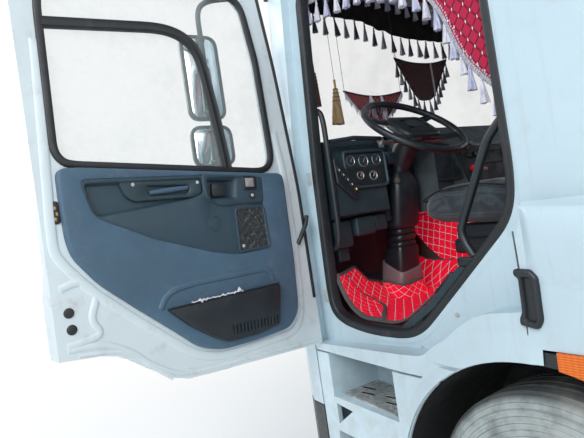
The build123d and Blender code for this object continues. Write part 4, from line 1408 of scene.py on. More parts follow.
def stringLine(name, start, end, thick):
    # a thin string: a NURBS line of three points
    curve = bpy.data.curves.new(name, "CURVE")
    curve.dimensions = "3D"
    curve.bevel_depth = thick / 2000
    spline = curve.splines.new("NURBS")
    points = toRow([start, (np.array(start) + end) / 2, end])
    spline.points.add(2)
    for point, at in zip(spline.points, points):
        point.co = (*at, 1)
    spline.order_u = 3
    spline.use_endpoint_u = True
    piece = bpy.data.objects.new(name, curve)
    bpy.context.scene.collection.objects.link(piece)
    curve.materials.append(fringeDark)
    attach(piece, "cab")
    return piece


def hangString(name, start, end, thick):
    piece = stringLine(name, start, end, thick)
    tuple(toRow(start))


# pennants: padded cloth with a dark border, white marks and a fringe
pennantTable = {
    "pennant_upper": dict(
        x=-1040, top=[(-395, 2180), (-300, 2160), (-200, 2156), (-100, 2162), (0, 2186)],
        low=[
            (-395, 2180), (-350, 2105), (-290, 2010), (-262, 1976), (-240, 1966), (-165, 1970),
            (-120, 2006), (-60, 2096), (0, 2186)
        ],
        cloth=pennantDark, border=blackRubber, stripes=[(-142, -128, 2165, 1985)],
        fringe=(fringeDark, fringeSilver), gap=44
    ),
    "pennant_lower": dict(
        x=-1050, top=[(-746, 2012), (-640, 1992), (-555, 1986), (-470, 1992), (-365, 2012)],
        low=[
            (-746, 2012), (-690, 1948), (-620, 1880), (-580, 1852), (-530, 1852), (-490, 1880),
            (-420, 1950), (-365, 2012)
        ],
        cloth=pennantQuilt, border=pennantDark, stripes=[], fringe=(fringeWhite,), gap=7
    ),
}
for name, facts in pennantTable.items():
    x0 = facts["x"]
    top, low = np.array(facts["top"], float), np.array(facts["low"], float)
    topLine, lowLine = resample(roundPath(top, 60), 4), resample(roundPath(low, 24), 4)
    across = np.linspace(top[0, 0] + 0.5, top[-1, 0] - 0.5, 96)
    zTop, zLow = np.interp(
        across, topLine[:, 0], topLine[:, 1]
    ), np.interp(across, lowLine[:, 0], lowLine[:, 1])
    share = np.linspace(0, 1, 40)[:, None]
    z = zLow[None] + (zTop - zLow)[None] * share
    y = np.broadcast_to(across[None], z.shape)
    sheet = quiltPiece(
        name, lambda a, b, out: toRow(np.stack([x0 - 2 + out, a, b], -1)), y, z, (0.028, 0.024),
        1.6, 1.5, facts["cloth"], "cab",
        **({"replaces": ("windscreen_hangings",)} if name == "pennant_upper" else {})
    )
    around = np.concatenate([topLine, lowLine[::-1][1:-1]])
    border = resample(around, 8, True)
    ring = onLevel(border, 0, x0 + 1.0)
    extra = [
        makePiece(
            name + "_border",
            sweepShape(toRow(ring), circle(0.0045, 8, 0.5), up=(1, 0, 0), closed=True),
            facts["border"], "cab"
        )
    ]
    for k, (y0, y1, z0, z1) in enumerate(facts["stripes"]):
        grid = np.stack(np.meshgrid(np.linspace(0, 1, 3), np.linspace(0, 1, 30), indexing="ij"), -1)
        strip = np.stack(
            [
                np.full(grid.shape[:2], x0 + 4.0),
                y0 + (y1 - y0) * grid[..., 0] + 5 * np.sin(grid[..., 1] * 2),
                z0 + (z1 - z0) * grid[..., 1]
            ],
            -1
        )
        extra.append(makePiece(f"{name}_stripe_{k}", gridShape(toRow(strip)), fringeWhite, "cab"))
    line = onLevel(lowLine, 0, x0 + 2.0)
    if facts["gap"] > 20:
        extra += tasselRow(
            name + "_tassels", alongLine(line, facts["gap"]), 80, 11, facts["fringe"], "cab"
        )
    else:
        # a close fringe of hanging threads, and two tufts on the face
        rng = np.random.default_rng(seed)
        threads = []
        for at in alongLine(line, facts["gap"]):
            end = at + (rng.normal(0, 1.5), rng.normal(0, 4), -26 - rng.uniform(0, 8))
            threads.append(
                tubeShape(
                    toRow([at, (at + end) / 2 + (2, 0, 0), end]), 0.0024, 5, up=(1, 0, 0),
                    scale=[0.9, 1.2, 0.8]
                )
            )
        for centre in (-585, -512):
            for _ in range(26):
                start = np.array([x0 + 5, centre + rng.normal(0, 3), 1990 - abs(rng.normal(0, 6))])
                end = start + (rng.uniform(2, 6), rng.normal(0, 11), -rng.uniform(70, 118))
                threads.append(
                    tubeShape(
                        toRow([start, (start + end) / 2 + (3, 0, 0), end]), 0.0022, 5, up=(1, 0, 0),
                        scale=[0.8, 1.2, 0.5]
                    )
                )
        extra.append(makePiece(name + "_fringe", joinShapes(threads), fringeWhite, "cab", weld=0))
    for k, (a, b) in enumerate((top[0], top[-1])):
        inwards = 6 if k == 0 else -6
        hangString(f"{name}_string_{k}", (x0, a + inwards, hookHigh), (x0, a + inwards, b - 4), 2.2)
    cutSheet(
        sheet,
    )


def besom(name, y0, x0, top, low, half, material, wrap):
    # bound bristles: s down the fan, r = R (0.34 + 0.66 s^0.75), ridged 24 times round
    rng = np.random.default_rng(seed)
    s = np.linspace(0, 1, 22)[:, None]
    turn = allRound(96)[None]
    size = half * (0.34 + 0.66 * s**0.75) * (
        1 + 0.07 * np.sin(turn * 24) * s + 0.035 * rng.normal(0, 1, turn.shape) * s
    )
    height = top - 40 - (top - 40 - low) * s * (1 - 0.05 * rng.uniform(0, 1, turn.shape) * s)
    fan = np.stack(
        [x0 + 0.42 * size * np.cos(turn), y0 + size * np.sin(turn) - 12 * s + 0 * turn, height], -1
    )
    parts = [gridShape(toRow(fan), wrapColumns=True, caps=True)]
    stick = tubeShape(
        toRow([(x0, y0, top - 52), (x0, y0, top - 20), (x0, y0, top)]), 0.0055, 12, up=(1, 0, 0)
    )
    makePiece(name, joinShapes(parts + [stick]), material, "cab", sharp=60, weld=0)
    bands = []
    for z in np.linspace(top - 44, top - 40 - (top - low) * 0.28, 4):
        share = (top - 40 - z) / (top - 40 - low)
        size = half * (0.34 + 0.66 * max(share, 0) ** 0.75) + 1.5
        ring = [
            (x0 + 0.46 * size * math.cos(a), y0 + size * math.sin(a) - 12 * share, z)
            for a in allRound(24)
        ]
        bands.append(tubeShape(toRow(ring), 0.0016, 8, closed=True))
    makePiece(name + "_binding", joinShapes(bands), wrap, "cab")
    hangString(name + "_string", (x0, y0, hookHigh), (x0, y0, top - 2), 2.2)


besom("besom_brown", -918, -1032, 2130, 1935, 28, strawBrown, fringeDark)
besom("besom_straw", -806, -1032, 2060, 1851, 34, strawPale, strawBrown)
print("hangings made")

# ---- floor mat, quilted collar and tunnel cover ----

# underside = rounded floor line + 196 mm * rise(w), w = -x - 0.45 (y + 1000) - 853, which climbs
# over the box in the front corner by the door; s runs forward along each lengthwise cut
matFloor = roundPath(
    [(-1200, 1088), (-1148, 1036), (-1062, 1015), (-759, 1011), (-603, 1011), (-436, 1120)], 70
)
matFar = (
    [-1012, -950, -850, -780, -720, -660, -600, -306],
    [-958, -985, -1033, -1035, -1052, -1072, -1090, -1150]
)


def matHeight(x, y):
    w = -x - 0.45 * (y + 1000) - 853
    rise = np.interp(
        w, [-60, -20, 0, 30, 64, 80, 100, 116, 150],
        [0, 0.04, 0.09, 0.19, 0.38, 0.52, 0.76, 0.95, 1.0]
    )
    beside = 125 * np.clip((y + 420) / 110, 0, 1) ** 2 * np.clip((-x - 740) / 170, 0, 1)
    return np.interp(
        x, matFloor[:, 0], matFloor[:, 1]
    ) + 196 * rise * np.clip((-560 - y) / 140, 0, 1) + beside


def matGrid(y, nearX, rows):
    # even steps along every cut from its near end forwards: x, y, z and the run s
    x0 = np.interp(y, *matFar)
    fine = nearX + (x0 - nearX)[None] * np.linspace(0, 1, 500)[:, None]
    z = matHeight(fine, y[None])
    run = np.concatenate([
        np.zeros((1, len(y))),
        np.cumsum(np.hypot(np.diff(fine, axis=0), np.diff(z, axis=0)), axis=0)
    ])
    share = np.linspace(0, 1, rows)
    grid = np.empty((rows, len(y), 3))
    along = share[:, None] * run[-1][None]
    for k in range(len(y)):
        grid[:, k, 0] = np.interp(along[:, k], run[:, k], fine[:, k])
        grid[:, k, 2] = np.interp(along[:, k], run[:, k], z[:, k])
    grid[..., 1] = y[None]
    return grid, along


def offNormal(grid, out):
    # moved out square to the sheet
    d0, d1 = np.gradient(grid, axis=0), np.gradient(grid, axis=1)
    normal = np.cross(d1, d0)
    normal *= np.sign(normal[..., 2:3] + 1e-9) / np.linalg.norm(normal, axis=-1)[..., None]
    return toRow(grid + normal * np.broadcast_to(np.asarray(out, float), grid.shape[:2])[..., None])


columnFoot = np.array([-1045.0, -565.0])
matSheet, matAlong = matGrid(np.linspace(-1012, -306, 150), -436.0, 150)
matSheet[..., 2] += 2.0 * np.sin(matSheet[..., 1] / 61) * np.sin(matSheet[..., 0] / 73)
mat = quiltPiece(
    "quilted_mat", lambda a, b, out: offNormal(matSheet, out), matAlong, matSheet[..., 1],
    *matPadding, matQuilt, "cab", replaces=("floor_mat",)
)


def edged(line, half, lift):
    return sweepShape(
        resample(toRow(line + (0, 0, lift)), 0.010), circle(half, 10, 0.5), up=(0.3, -0.3, 1)
    )


edges = [
    edged(matSheet[0], 0.008, 4), edged(matSheet[-1], 0.011, 6), edged(matSheet[:, 0], 0.009, 5),
    edged(matSheet[:, -1], 0.008, 4)
]
flapNear = np.array(
    [
        (-700, -1001), (-757, -960), (-812, -900), (-895, -823), (-945, -840), (-953, -862),
        (-956, -885), (-960, -905), (-968, -922), (-980, -940)
    ],
    float
)
line = resample(roundPath(flapNear, 60), 5)
share = np.linspace(0, 1, 40)[None]
outer = np.stack(
    [
        np.interp(np.linspace(0, 1, len(line)), [0, 0.5, 1], [-700, -880, -958]),
        np.full(len(line), -1010.0)
    ],
    -1
)
flat = outer[:, None] * (1 - share[..., None]) + line[:, None] * share[..., None]
flapGrid = np.concatenate([flat, matHeight(flat[..., 0], flat[..., 1])[..., None]], -1)
# pattern by run: out from the door's side and along the flap
outRun = np.concatenate(
    [
        np.zeros((len(line), 1)),
        np.cumsum(np.linalg.norm(np.diff(flapGrid, axis=1), axis=2), axis=1)
    ],
    axis=1
)
longRun = np.concatenate([
    [0], np.cumsum(np.linalg.norm(np.diff(flapGrid[:, 20], axis=0), axis=1))
])[:, None] + 0 * outRun
flap = quiltPiece(
    "mat_flap", lambda a, b, out: offNormal(flapGrid, out + 8), longRun, outRun, *matPadding,
    matQuilt, "cab", uvTurn=12
)
edges.append(edged(flapGrid[:, -1], 0.010, 13))
edges.append(edged(flapGrid[:, 0], 0.009, 12))
binding = makePiece("mat_binding", joinShapes(edges), bindingGrey, "cab", sharp=60, weld=0)
cutSheet(mat)
cutSheet(flap)
print("mat made")

# quilted collar round the column's foot and the cover on the engine tunnel's side

turn, rise = np.meshgrid(np.linspace(0, 2 * math.pi, 121), np.linspace(0, 1, 34), indexing="ij")


def collarPlace(angle, height, out):
    # squared ring round the column, spreading 22 mm to the mat: half sides 76 and 82 mm at the top
    round_ = (np.abs(np.cos(angle)) ** 4 + np.abs(np.sin(angle)) ** 4) ** (-1 / 4)
    spread = 22 * (1 - height) ** 2 + out
    x = columnFoot[0] + 6 + 5 * height + (76 + spread) * round_ * np.cos(angle)
    y = columnFoot[1] + (82 + spread) * round_ * np.sin(angle)
    top = 1090 - 0.10 * (x - columnFoot[0]) + 5 * np.sin(3 * angle)
    low = np.minimum(matHeight(x, y) + 4, top - 12)
    return toRow(np.stack([x, y, low * (1 - height) + top * height], -1))


wide, tall = turn * 0.107, rise * 0.09
relief = puff(wide, tall, *matPadding[:2])
shape, rim = clothShape(collarPlace, turn, rise, 3 + relief, 0)
flat = np.stack([wide, tall], -1)
uv = np.concatenate([flat.reshape(-1, 2)] * 2 + [flat[rim[:, 0], rim[:, 1]]] * 2)
collar = makePiece("column_collar", shape, matQuilt, "cab", sharp=60, uv=uv, weld=1e-6)
ring = collarPlace(allRound(80), np.ones(80), 3.0)
collarBinding = makePiece(
    "collar_binding", tubeShape(ring, 0.006, 10, closed=True), bindingGrey, "cab"
)
cutSheet(collar)

x, z = np.meshgrid(np.linspace(-1150, -395, 160), np.linspace(0, 1, 66), indexing="ij")
topZ = np.interp(x, [-1150, -850, -700, -395], [1378, 1372, 1292, 1292])
lowZ = np.interp(
    x, [-1150, -1060, -1000, -752, -608, -436, -395], [1290, 1196, 1150, 1030, 1024, 1135, 1168]
)
tear = np.interp(
    np.linspace(0, 1, 66), np.linspace(0, 1, 9), [0, -34, 4, -46, -8, -60, -14, -30, 0]
)
x = x + tear[None] * np.clip((x + 560) / 165, 0, 1)
cover = quiltPiece(
    "tunnel_cover", lambda a, b, out: toRow(np.stack([a, -302 - out - 2 * np.sin(a / 37), b], -1)),
    x, lowZ + (topZ - lowZ) * z, *tunnelPadding, matQuilt, "cab", uvTurn=-32
)
cutSheet(cover)
tunnelTopLine = np.array([(-1236, 1387), (-850, 1373), (-700, 1293), (60, 1293)], float)
run = resample(roundPath(tunnelTopLine, 60), 8)
alongTunnel = np.concatenate([[0], np.cumsum(np.linalg.norm(np.diff(run, axis=0), axis=1))])
s, y = np.meshgrid(np.linspace(0, alongTunnel[-1], 170), np.linspace(-300, 300, 110), indexing="ij")
lid = quiltPiece(
    "tunnel_top_cover", lambda a, b,
    out: toRow(
        np.stack(
            [np.interp(a, alongTunnel, run[:, 0]), b, np.interp(a, alongTunnel, run[:, 1]) + out],
            -1
        )
    ),
    s, y, *tunnelPadding, matQuilt, "cab", uvTurn=45
)
cutSheet(lid)

# ---- steering wheel, column and dashboard ----

wheelFacts = dict(centre=(-831.0, -550.0, 1795.0), tilt=38.0, rim=234.0, tube=15.5)


def onWheel(points):
    # x forward across the wheel, y along it, z up its shaft
    points = np.asarray(points, float)
    tilt = math.radians(wheelFacts["tilt"])
    out = np.empty_like(points)
    x, y, z = wheelFacts["centre"]
    out[..., 0] = x + points[..., 0] * math.cos(tilt) + points[..., 2] * math.sin(tilt)
    out[..., 1] = y + points[..., 1]
    out[..., 2] = z - points[..., 0] * math.sin(tilt) + points[..., 2] * math.cos(tilt)
    return toRow(out)


def wheelPlane(a, b, depth):
    return onWheel(np.stack([a, b, spread(depth, a)], -1))


rimPath = [
    (wheelFacts["rim"] * math.cos(a), wheelFacts["rim"] * math.sin(a), 0)
    for a in allRound(120)
]
parts = [
    tubeShape(onWheel(rimPath), wheelFacts["tube"] / 1000, 20, up=(0.6157, 0, 0.788), closed=True)
]
for a, b in ((1, 0.42), (1, -0.42), (-1, 0.42), (-1, -0.42)):
    start, end = np.array([34 * a, 150 * b, -16]), np.array([228 * a * 0.905, 228 * b, -3])
    path = np.array([
        start, start * 0.6 + end * 0.4 + (0, 0, -10), start * 0.25 + end * 0.75 + (0, 0, -6), end
    ])
    swapped = resample(roundPath(path, 40)[:, [1, 0, 2]], 9)
    parts.append(
        sweepShape(
            onWheel(swapped), circle(0.024, 16, 0.36), up=(0.6157, 0, 0.788),
            scale=np.linspace(1.3, 0.75, len(swapped))
        )
    )
hub = roundPath([(-88, -112), (88, -112), (88, 112), (-88, 112)], 46, True)
parts.append(
    stackShape(
        hub, [(26, -40), (4, -34), (0, -24), (0, -4), (4, 3), (14, 8), (34, 11), (60, 12)],
        wheelPlane
    )
)
makePiece(
    "wheel_body", joinShapes(parts), blackPlastic, "steering_wheel", replaces=("steering_wheel",)
)
badge = roundPath([(-30, -46), (30, -46), (30, 46), (-30, 46)], 18, True)
makePiece(
    "wheel_pad", stackShape(badge, [(0, 10), (0, 13), (3, 15), (10, 16)], wheelPlane), dashPlastic,
    "steering_wheel"
)


def blockRings(rows, power=3.2, sides=64, slope=(0, 0)):
    # squared rounds one above another, each as (z, x, y, half x, half y, share of the tilt),
    # tilted by slope along x and y
    turn = allRound(sides)
    round_ = (np.abs(np.cos(turn)) ** power + np.abs(np.sin(turn)) ** power) ** (-1 / power)
    rings = []
    for row in rows:
        z, x, y, hx, hy = row[:5]
        lean = row[5] if len(row) > 5 else 0
        across, along = hx * round_ * np.cos(turn), hy * round_ * np.sin(turn)
        rings.append(
            np.stack([x + across, y + along, z + lean * (slope[0] * across + slope[1] * along)], -1)
        )
    return gridShape(toRow(np.stack(rings)), wrapColumns=True, caps=True)


def columnAt(z):
    share = (z - 1000) / 640
    return columnFoot[0] + 90 * share, columnFoot[1] + 13 * share


def columnRow(z, hx, hy, dx=0, dy=0):
    x, y = columnAt(z)
    return (z, x + dx, y + dy, hx, hy)


shroud = [
    columnRow(1012, 74, 80) + (0,), columnRow(1090, 72, 78) + (0.2,),
    columnRow(1168, 69, 74) + (1,), columnRow(1172, 66, 71) + (1,)
]
makePiece(
    "column_shroud", blockRings(shroud, 6, 96, (-0.50, 0.16)), shroudRose, "cab",
    replaces=("steering_column",)
)
makePiece(
    "column_boot",
    blockRings(
        [
            columnRow(1090, 62, 67) + (1,), columnRow(1180, 64, 69) + (0.6,),
            columnRow(1236, 62, 67) + (0,), columnRow(1250, 58, 63) + (0,),
            columnRow(1254, 50, 55) + (0,)
        ],
        5, 96, (-0.3, 0.1)
    ),
    gaiterRubber, "cab", sharp=50
)
folds = []
for k in range(49):
    # bellows: half sides 54 and 59 mm, swelling 9 mm in three folds 31 mm apart
    swell = 9 * abs(math.sin(k * math.pi / 16)) ** 0.7
    folds.append(columnRow(1246 + k * 1.95, 48 + swell, 53 + swell))
makePiece("column_gaiter", blockRings(folds, 3.4, 80), gaiterRubber, "cab", sharp=60)
main = [
    blockRings(
        [
            columnRow(1334, 50, 58), columnRow(1344, 64, 72), columnRow(1360, 70, 80),
            columnRow(1500, 70, 80), columnRow(1560, 60, 72), columnRow(1600, 40, 50)
        ],
        3.6
    ),
    blockRings([columnRow(1560, 38, 44), columnRow(1690, 34, 40, 30)], 2.2)
]
neck = np.array([(0, 0, -196), (0, 0, -120), (0, 0, -44)])
main.append(tubeShape(onWheel(neck), 0.056, 40, up=(0, 1, 0), scale=[0.9, 1.0, 0.86]))
makePiece("column_body", joinShapes(main), blackPlastic, "cab", sharp=45)
plates = [
    roundedBox((-1012, -652, 1500), (-986, -560, 1668), 9),
    roundedBox((-1010, -668, 1380), (-960, -640, 1500), 9),
    roundedBox((-1006, -640, 1640), (-930, -470, 1700), 16),
]
makePiece("column_covers", mapShape(joinShapes(plates), toRow), trimGrey, "cab")
stalks = [
    tubeShape(
        onWheel(roundPath([(10, 50 * s, -70), (14, 120 * s, -72), (30, 205 * s, -60)], 30)), 0.007,
        12, up=(1, 0, 0), scale=np.linspace(0.8, 1.25, 8)
    )
    for s in (-1, 1)
]
makePiece("column_stalks", joinShapes(stalks), steelBright, "cab")
lock = latheShape(
    [(0, 0.01), (0, 16), (24, 15), (26, 12), (26, 0.01)], (-930, -600, 1560), (0.6, -0.8, 0), 20
)
makePiece("column_lock", mapShape(lock, toRow), castIron, "cab")


def facing(origin, across, upwards):
    # a plane on a face: its own two directions and the one out of it
    across = np.asarray(across, float) / np.linalg.norm(across)
    upwards = np.asarray(upwards, float) / np.linalg.norm(upwards)
    out = np.cross(across, upwards)

    def plane(a, b, depth):
        a, b = np.asarray(a, float), np.asarray(b, float)
        at = np.asarray(origin, float) + a[..., None] * across + b[..., None] * upwards
        return toRow(at + spread(depth, a)[..., None] * out)

    return plane


def dialMaterial(name):
    # dark face with a ring of pale ticks
    material, tree, shader = startMaterial(name)
    uv = splitAxes(tree, place(tree, "UV"))
    radius, angle = uv[0], uv[1]
    tick = maths(
        tree, "MULTIPLY",
        ramp(
            tree, maths(tree, "PINGPONG", maths(tree, "MULTIPLY", angle, 24), 0.5), 0.08, 0.13, 1, 0
        ),
        maths(
            tree, "MULTIPLY", ramp(tree, radius, 0.66, 0.68), ramp(tree, radius, 0.86, 0.88, 1, 0)
        )
    )
    tree.links.new(
        blendColour(tree, tick, (0.012, 0.014, 0.016), (0.75, 0.76, 0.74)),
        shader.inputs["Base Color"]
    )
    setInputs(shader, {"Roughness": 0.25, "Coat Weight": 0.8})
    return material


dialFace = dialMaterial("dialFace")


def gauge(plane, a, b, radius):
    turn = np.linspace(0, 2 * math.pi, 41)
    rows = np.linspace(0.02, 1, 6)
    ring = plane(
        a + radius * rows[:, None] * np.cos(turn), b + radius * rows[:, None] * np.sin(turn), 3.0
    )
    uv = np.stack(
        [
            np.broadcast_to(rows[:, None], ring.shape[:2]),
            np.broadcast_to(turn / (2 * math.pi), ring.shape[:2])
        ],
        -1
    ).reshape(-1, 2)
    bezelLine = [(a + radius * math.cos(t), b + radius * math.sin(t)) for t in turn[:-1]]
    bezel = stackShape(
        bezelLine, [(-2, 0), (-2, 5), (-1, 6.5), (0, 6), (1, 4), (1, 1)], plane, caps=False
    )
    needle = stackShape(
        [
            (a - 1, b - 4), (a + 1.4, b - 4), (a + radius * 0.5, b + radius * 0.62),
            (a + radius * 0.46, b + radius * 0.66)
        ],
        [(0, 3.5), (0, 5)], plane
    )
    return (gridShape(ring), uv), bezel, needle


dashFace = facing((-903, -980, 1560), (0, 1, 0), (-0.06, 0, 1))
dials, bezels, needles, dialUv = [], [], [], []
for a, b, radius in ((92, 108, 21), (164, 104, 25), (240, 106, 23), (208, 36, 20), (134, 42, 17)):
    (dial, uv), bezel, needle = gauge(dashFace, a, b, radius)
    dials.append(dial)
    dialUv.append(uv)
    bezels.append(bezel)
    needles.append(needle)
makePiece("dash_dials", joinShapes(dials), dialFace, "cab", uv=np.concatenate(dialUv), weld=0)
makePiece("dash_bezels", joinShapes(bezels), steelBright, "cab")
makePiece("dash_needles", joinShapes(needles), fringeWhite, "cab")
panel = roundPath([(60, 60), (108, -6), (284, -6), (290, 144), (60, 144)], 18, True)
makePiece(
    "dash_panel", stackShape(panel, [(0, -8), (0, 0), (2, 2), (6, 2.6)], dashFace), blackPlastic,
    "cab"
)
frame_ = [
    reliefShape(
        insetOutline(panel, -10), [(0, -8), (0, 8), (3, 11), (6, 11)],
        [(panel, [(0, 11), (2, 9), (3, 3)], False)], dashFace, backCap=False
    )
]
makePiece("dash_frame", joinShapes(frame_), trimGrey, "cab")
hood = sweepShape(
    toRow([(-905, -985, 1756), (-898, -860, 1766), (-905, -700, 1758)]), circle(0.016, 14, 0.6),
    up=(0, 0, 1)
)
makePiece("dash_hood", hood, dashPlastic, "cab")
strip = facing((-899, -986, 1560), (0, 1, 0), (-0.06, 0, 1))
stripParts = [
    stackShape(
        roundPath([(0, 122), (16, 126), (112, 6), (86, -62), (0, 18)], 10, True),
        [(0, -8), (0, 6), (3, 9), (7, 9)], strip
    )
]
buttons = []
for k in range(5):
    a, b = 16 + 18.5 * k, 84 - 22 * k
    stripParts.append(
        stackShape(
            roundPath(
                [(a - 3, b + 10), (a + 15, b - 11), (a + 5, b - 34), (a - 13, b - 12)], 3, True
            ),
            [(0, 8), (0, 12), (2, 13.5), (4, 14)], strip
        )
    )
    buttons.append(
        stackShape(
            roundPath([(a, b - 6), (a + 5, b - 12), (a + 2, b - 18), (a - 3, b - 12)], 1.5, True),
            [(0, 13), (0, 14.4), (0.8, 14.8)], strip
        )
    )
makePiece("dash_switches", joinShapes(stripParts), blackPlastic, "cab")
makePiece("switch_lamps", buttons[-1], lensFinish("lampYellow", (0.95, 0.60, 0.06), 0.8), "cab")
makePiece(
    "switch_lamps_white", joinShapes(buttons[:-1]), lensFinish("lampWhite", (0.6, 0.65, 0.62), 0.1),
    "cab"
)
knee = [
    roundedBox((-1040, -985, 1300), (-950, -890, 1420), 16),
    roundedBox((-1040, -884, 1340), (-930, -770, 1425), 14),
    roundedBox((-1040, -764, 1350), (-940, -690, 1425), 12),
    roundedBox((-1010, -960, 1240), (-985, -900, 1300), 5)
]
makePiece("knee_panels", mapShape(joinShapes(knee), toRow), dashPlastic, "cab")

# centre stack: slatted vent turned to the driver, panel with knobs, radio slots and two levers
turnedFace = facing((-873, -404, 1500), (66, 133, 0), (-34, 17, 200))
ventFrame = roundPath([(6, 30), (136, 30), (136, 172), (6, 172)], 12, True)
opening = insetOutline(ventFrame, 7)
vent = [
    reliefShape(
        ventFrame, [(0, -6), (0, 8), (3, 11), (6, 11)],
        [(opening, [(0, 11), (2, 9), (3, 1)], True)], turnedFace, backCap=False
    )
]
for b in np.arange(42, 166, 9.5):
    vent.append(
        stackShape(
            [(13, b), (129, b), (129, b + 3.5), (13, b + 3.5)], [(0, 1), (0, 8.5)], turnedFace
        )
    )
for a in np.arange(30, 128, 16):
    vent.append(
        stackShape(
            [(a, 38), (a + 2.4, 38), (a + 2.4, 165), (a, 165)], [(0, 1), (0, 9.5)], turnedFace
        )
    )
makePiece("stack_vent", joinShapes(vent), stackPlastic, "cab")
rearFace = facing((-799, -258, 1502), (0, 1, 0), (-50, 0, 200))
stack = [
    reliefShape(
        roundPath([(6, 6), (480, 6), (480, 190), (6, 190)], 16, True),
        [(0, -6), (0, 5), (2, 7), (6, 7)],
        [
            (
                roundPath([(150, 104), (330, 104), (330, 156), (150, 156)], 6, True),
                [(0, 7), (1, 5), (2, 2)], True
            ),
            (
                roundPath([(150, 40), (330, 40), (330, 92), (150, 92)], 6, True),
                [(0, 7), (1, 5), (2, 2)], True
            )
        ],
        rearFace, backCap=False
    )
]
for k in range(6):
    stack.append(
        stackShape(
            roundPath(
                [(352 + 20 * k, 40), (366 + 20 * k, 40), (366 + 20 * k, 76), (352 + 20 * k, 76)], 3,
                True
            ),
            [(0, 6), (0, 11), (2, 13)], rearFace
        )
    )
for a, b, radius in ((44, 140, 15), (96, 140, 15), (390, 130, 18), (440, 130, 18)):
    stack.append(
        stackShape(circle(radius, 28) + (a, b), [(0, 6), (0, 20), (2, 22), (6, 22)], rearFace)
    )
makePiece("stack_panel", joinShapes(stack), stackPlastic, "cab")
makePiece(
    "stack_knob",
    stackShape(
        circle(15, 28) + (34, 70), [(4, 6), (4, 18), (0, 20), (0, 30), (3, 34), (8, 35)], rearFace
    ),
    lensFinish("knobRed", (0.75, 0.02, 0.05)), "cab"
)
levers = [
    tubeShape(
        rearFace(np.array([70.0, 80, 104]), np.array([62.0, 58, 50]), np.array([8.0, 34, 40])),
        0.0075, 14, up=(0, 0, 1)
    ),
    tubeShape(
        rearFace(np.array([60.0, 60, 40]), np.array([176.0, 182, 186]), np.array([8.0, 30, 54])),
        0.0075, 14, up=(0, 0, 1)
    )
]
makePiece("stack_levers", joinShapes(levers), steelBright, "cab")
print("dashboard made")

# ---- grab bars and doorway seal ----

front = [
    (-1048, 985, 1922), (-985, 1004, 1908), (-914, 1006, 1888), (-903, 1006, 1835),
    (-902, 1006, 1725), (-904, 1006, 1538), (-906, 1006, 1411), (-912, 1006, 1340),
    (-936, 1006, 1306), (-1000, 998, 1296), (-1046, 985, 1296)
]
bars = [
    [(x, -y, z) for x, y, z in front], front,
    [
        (-22, -1010, 1700), (-86, -1010, 1655), (-134, -1010, 1612), (-190, -1010, 1508),
        (-262, -1010, 1378), (-278, -1010, 1342), (-264, -1010, 1300), (-240, -1010, 1262)
    ],
]
parts = [
    tubeShape(toRow(resample(roundPath(bar, 30, steps=10), 10)), size, 18, up=(0, 1, 0))
    for bar, size in zip(bars, (0.0115, 0.0115, 0.0135))
]
for y in (-985, 985):
    for z in (1296, 1922):
        parts.append(boxAt((-1056, y - 14, z - 24), (-1034, y + 14, z + 24), 7))
parts.append(boxAt((-300, -1023, 1231), (-240, -1000, 1260), 6))
parts.append(boxAt((-34, -1021, 1670), (-2, -1001, 1730), 6))
makePiece("grab_bars", joinShapes(parts), blackPlastic, "cab", replaces=("grab_handles",))

sealAt = 1056.6
doorHole = [
    (-962, 1351), (-966, 1188), (-967, 1091), (-945, 1038), (-877, 1007), (-770, 990), (-684, 986),
    (-576, 988), (-512, 999), (-459, 1024), (-418, 1058), (-276, 1187), (-177, 1278), (-83, 1364),
    (-52, 1430), (-44, 1520), (-52, 2250), (-66, 2350), (-110, 2386), (-842, 2386), (-892, 2350),
    (-952, 1640),
]
sealSection = np.array(
    [
        (-15, -40), (-15, -6), (-12, 0.4), (-6, 2.6), (0, 1.2), (3, 0.4), (8, 2.0), (14, 1.2),
        (17, -2), (17, -6), (-4, -6), (-4, -40)
    ],
    float
)
for side, tag in ((-1, "left"), (1, "right")):
    line = resample(roundPath(doorHole, 44, True), 10, True)
    path = toRow(onLevel(line, 1, side * sealAt))
    section = sealSection * (-side, 1) / 1000
    makePiece(
        f"doorway_seal_{tag}", sweepShape(path, section, up=(0, side, 0), closed=True), blackRubber,
        "cab", sharp=50
    )
    # pressed ridges beside the seal and round the wheel arch, and small plugs in the sill
    ridge = resample(
        roundPath(
            [
                (-1030, 1052), (-782, 964), (-640, 956), (-560, 958), (-470, 978), (-400, 1026),
                (-262, 1146), (-170, 1232), (-60, 1338)
            ],
            60
        ),
        10
    )
    rolledRidge = sweepShape(
        toRow(onLevel(ridge, 1, side * 1055.0)), circle(0.006, 10, 0.3), up=(0, side, 0)
    )
    makePiece(f"sill_ridge_{tag}", rolledRidge, cabPaint, "cab")
    plugs = [
        latheShape(
            [(0, 0.01), (0, 9), (2, 8.5), (3, 6), (3, 0.01)], (a, side * 1056, b), (0, side, 0), 16
        )
        for a, b in ((-640, 930), (-590, 936), (-300, 1080), (-470, 950))
    ]
    makePiece(f"sill_plugs_{tag}", mapShape(joinShapes(plugs), toRow), galvanised, "cab")

bracket = roundPath([(-462, 1128), (-430, 1105), (-345, 1178), (-372, 1207)], 10, True)
makePiece(
    "sill_bracket", stackShape(bracket, [(0, 0), (0, 40), (2, 44), (6, 46)], flankPlane(936, -1)),
    blackPlastic, "cab"
)
print("doorway dressed")

# ---- seats ----

seatTable = {"driver": (-805, -330), "passenger": (330, 1000)}


def sidePlane(a, b, depth):
    return toRow(np.stack([a, spread(depth, a), b], -1))


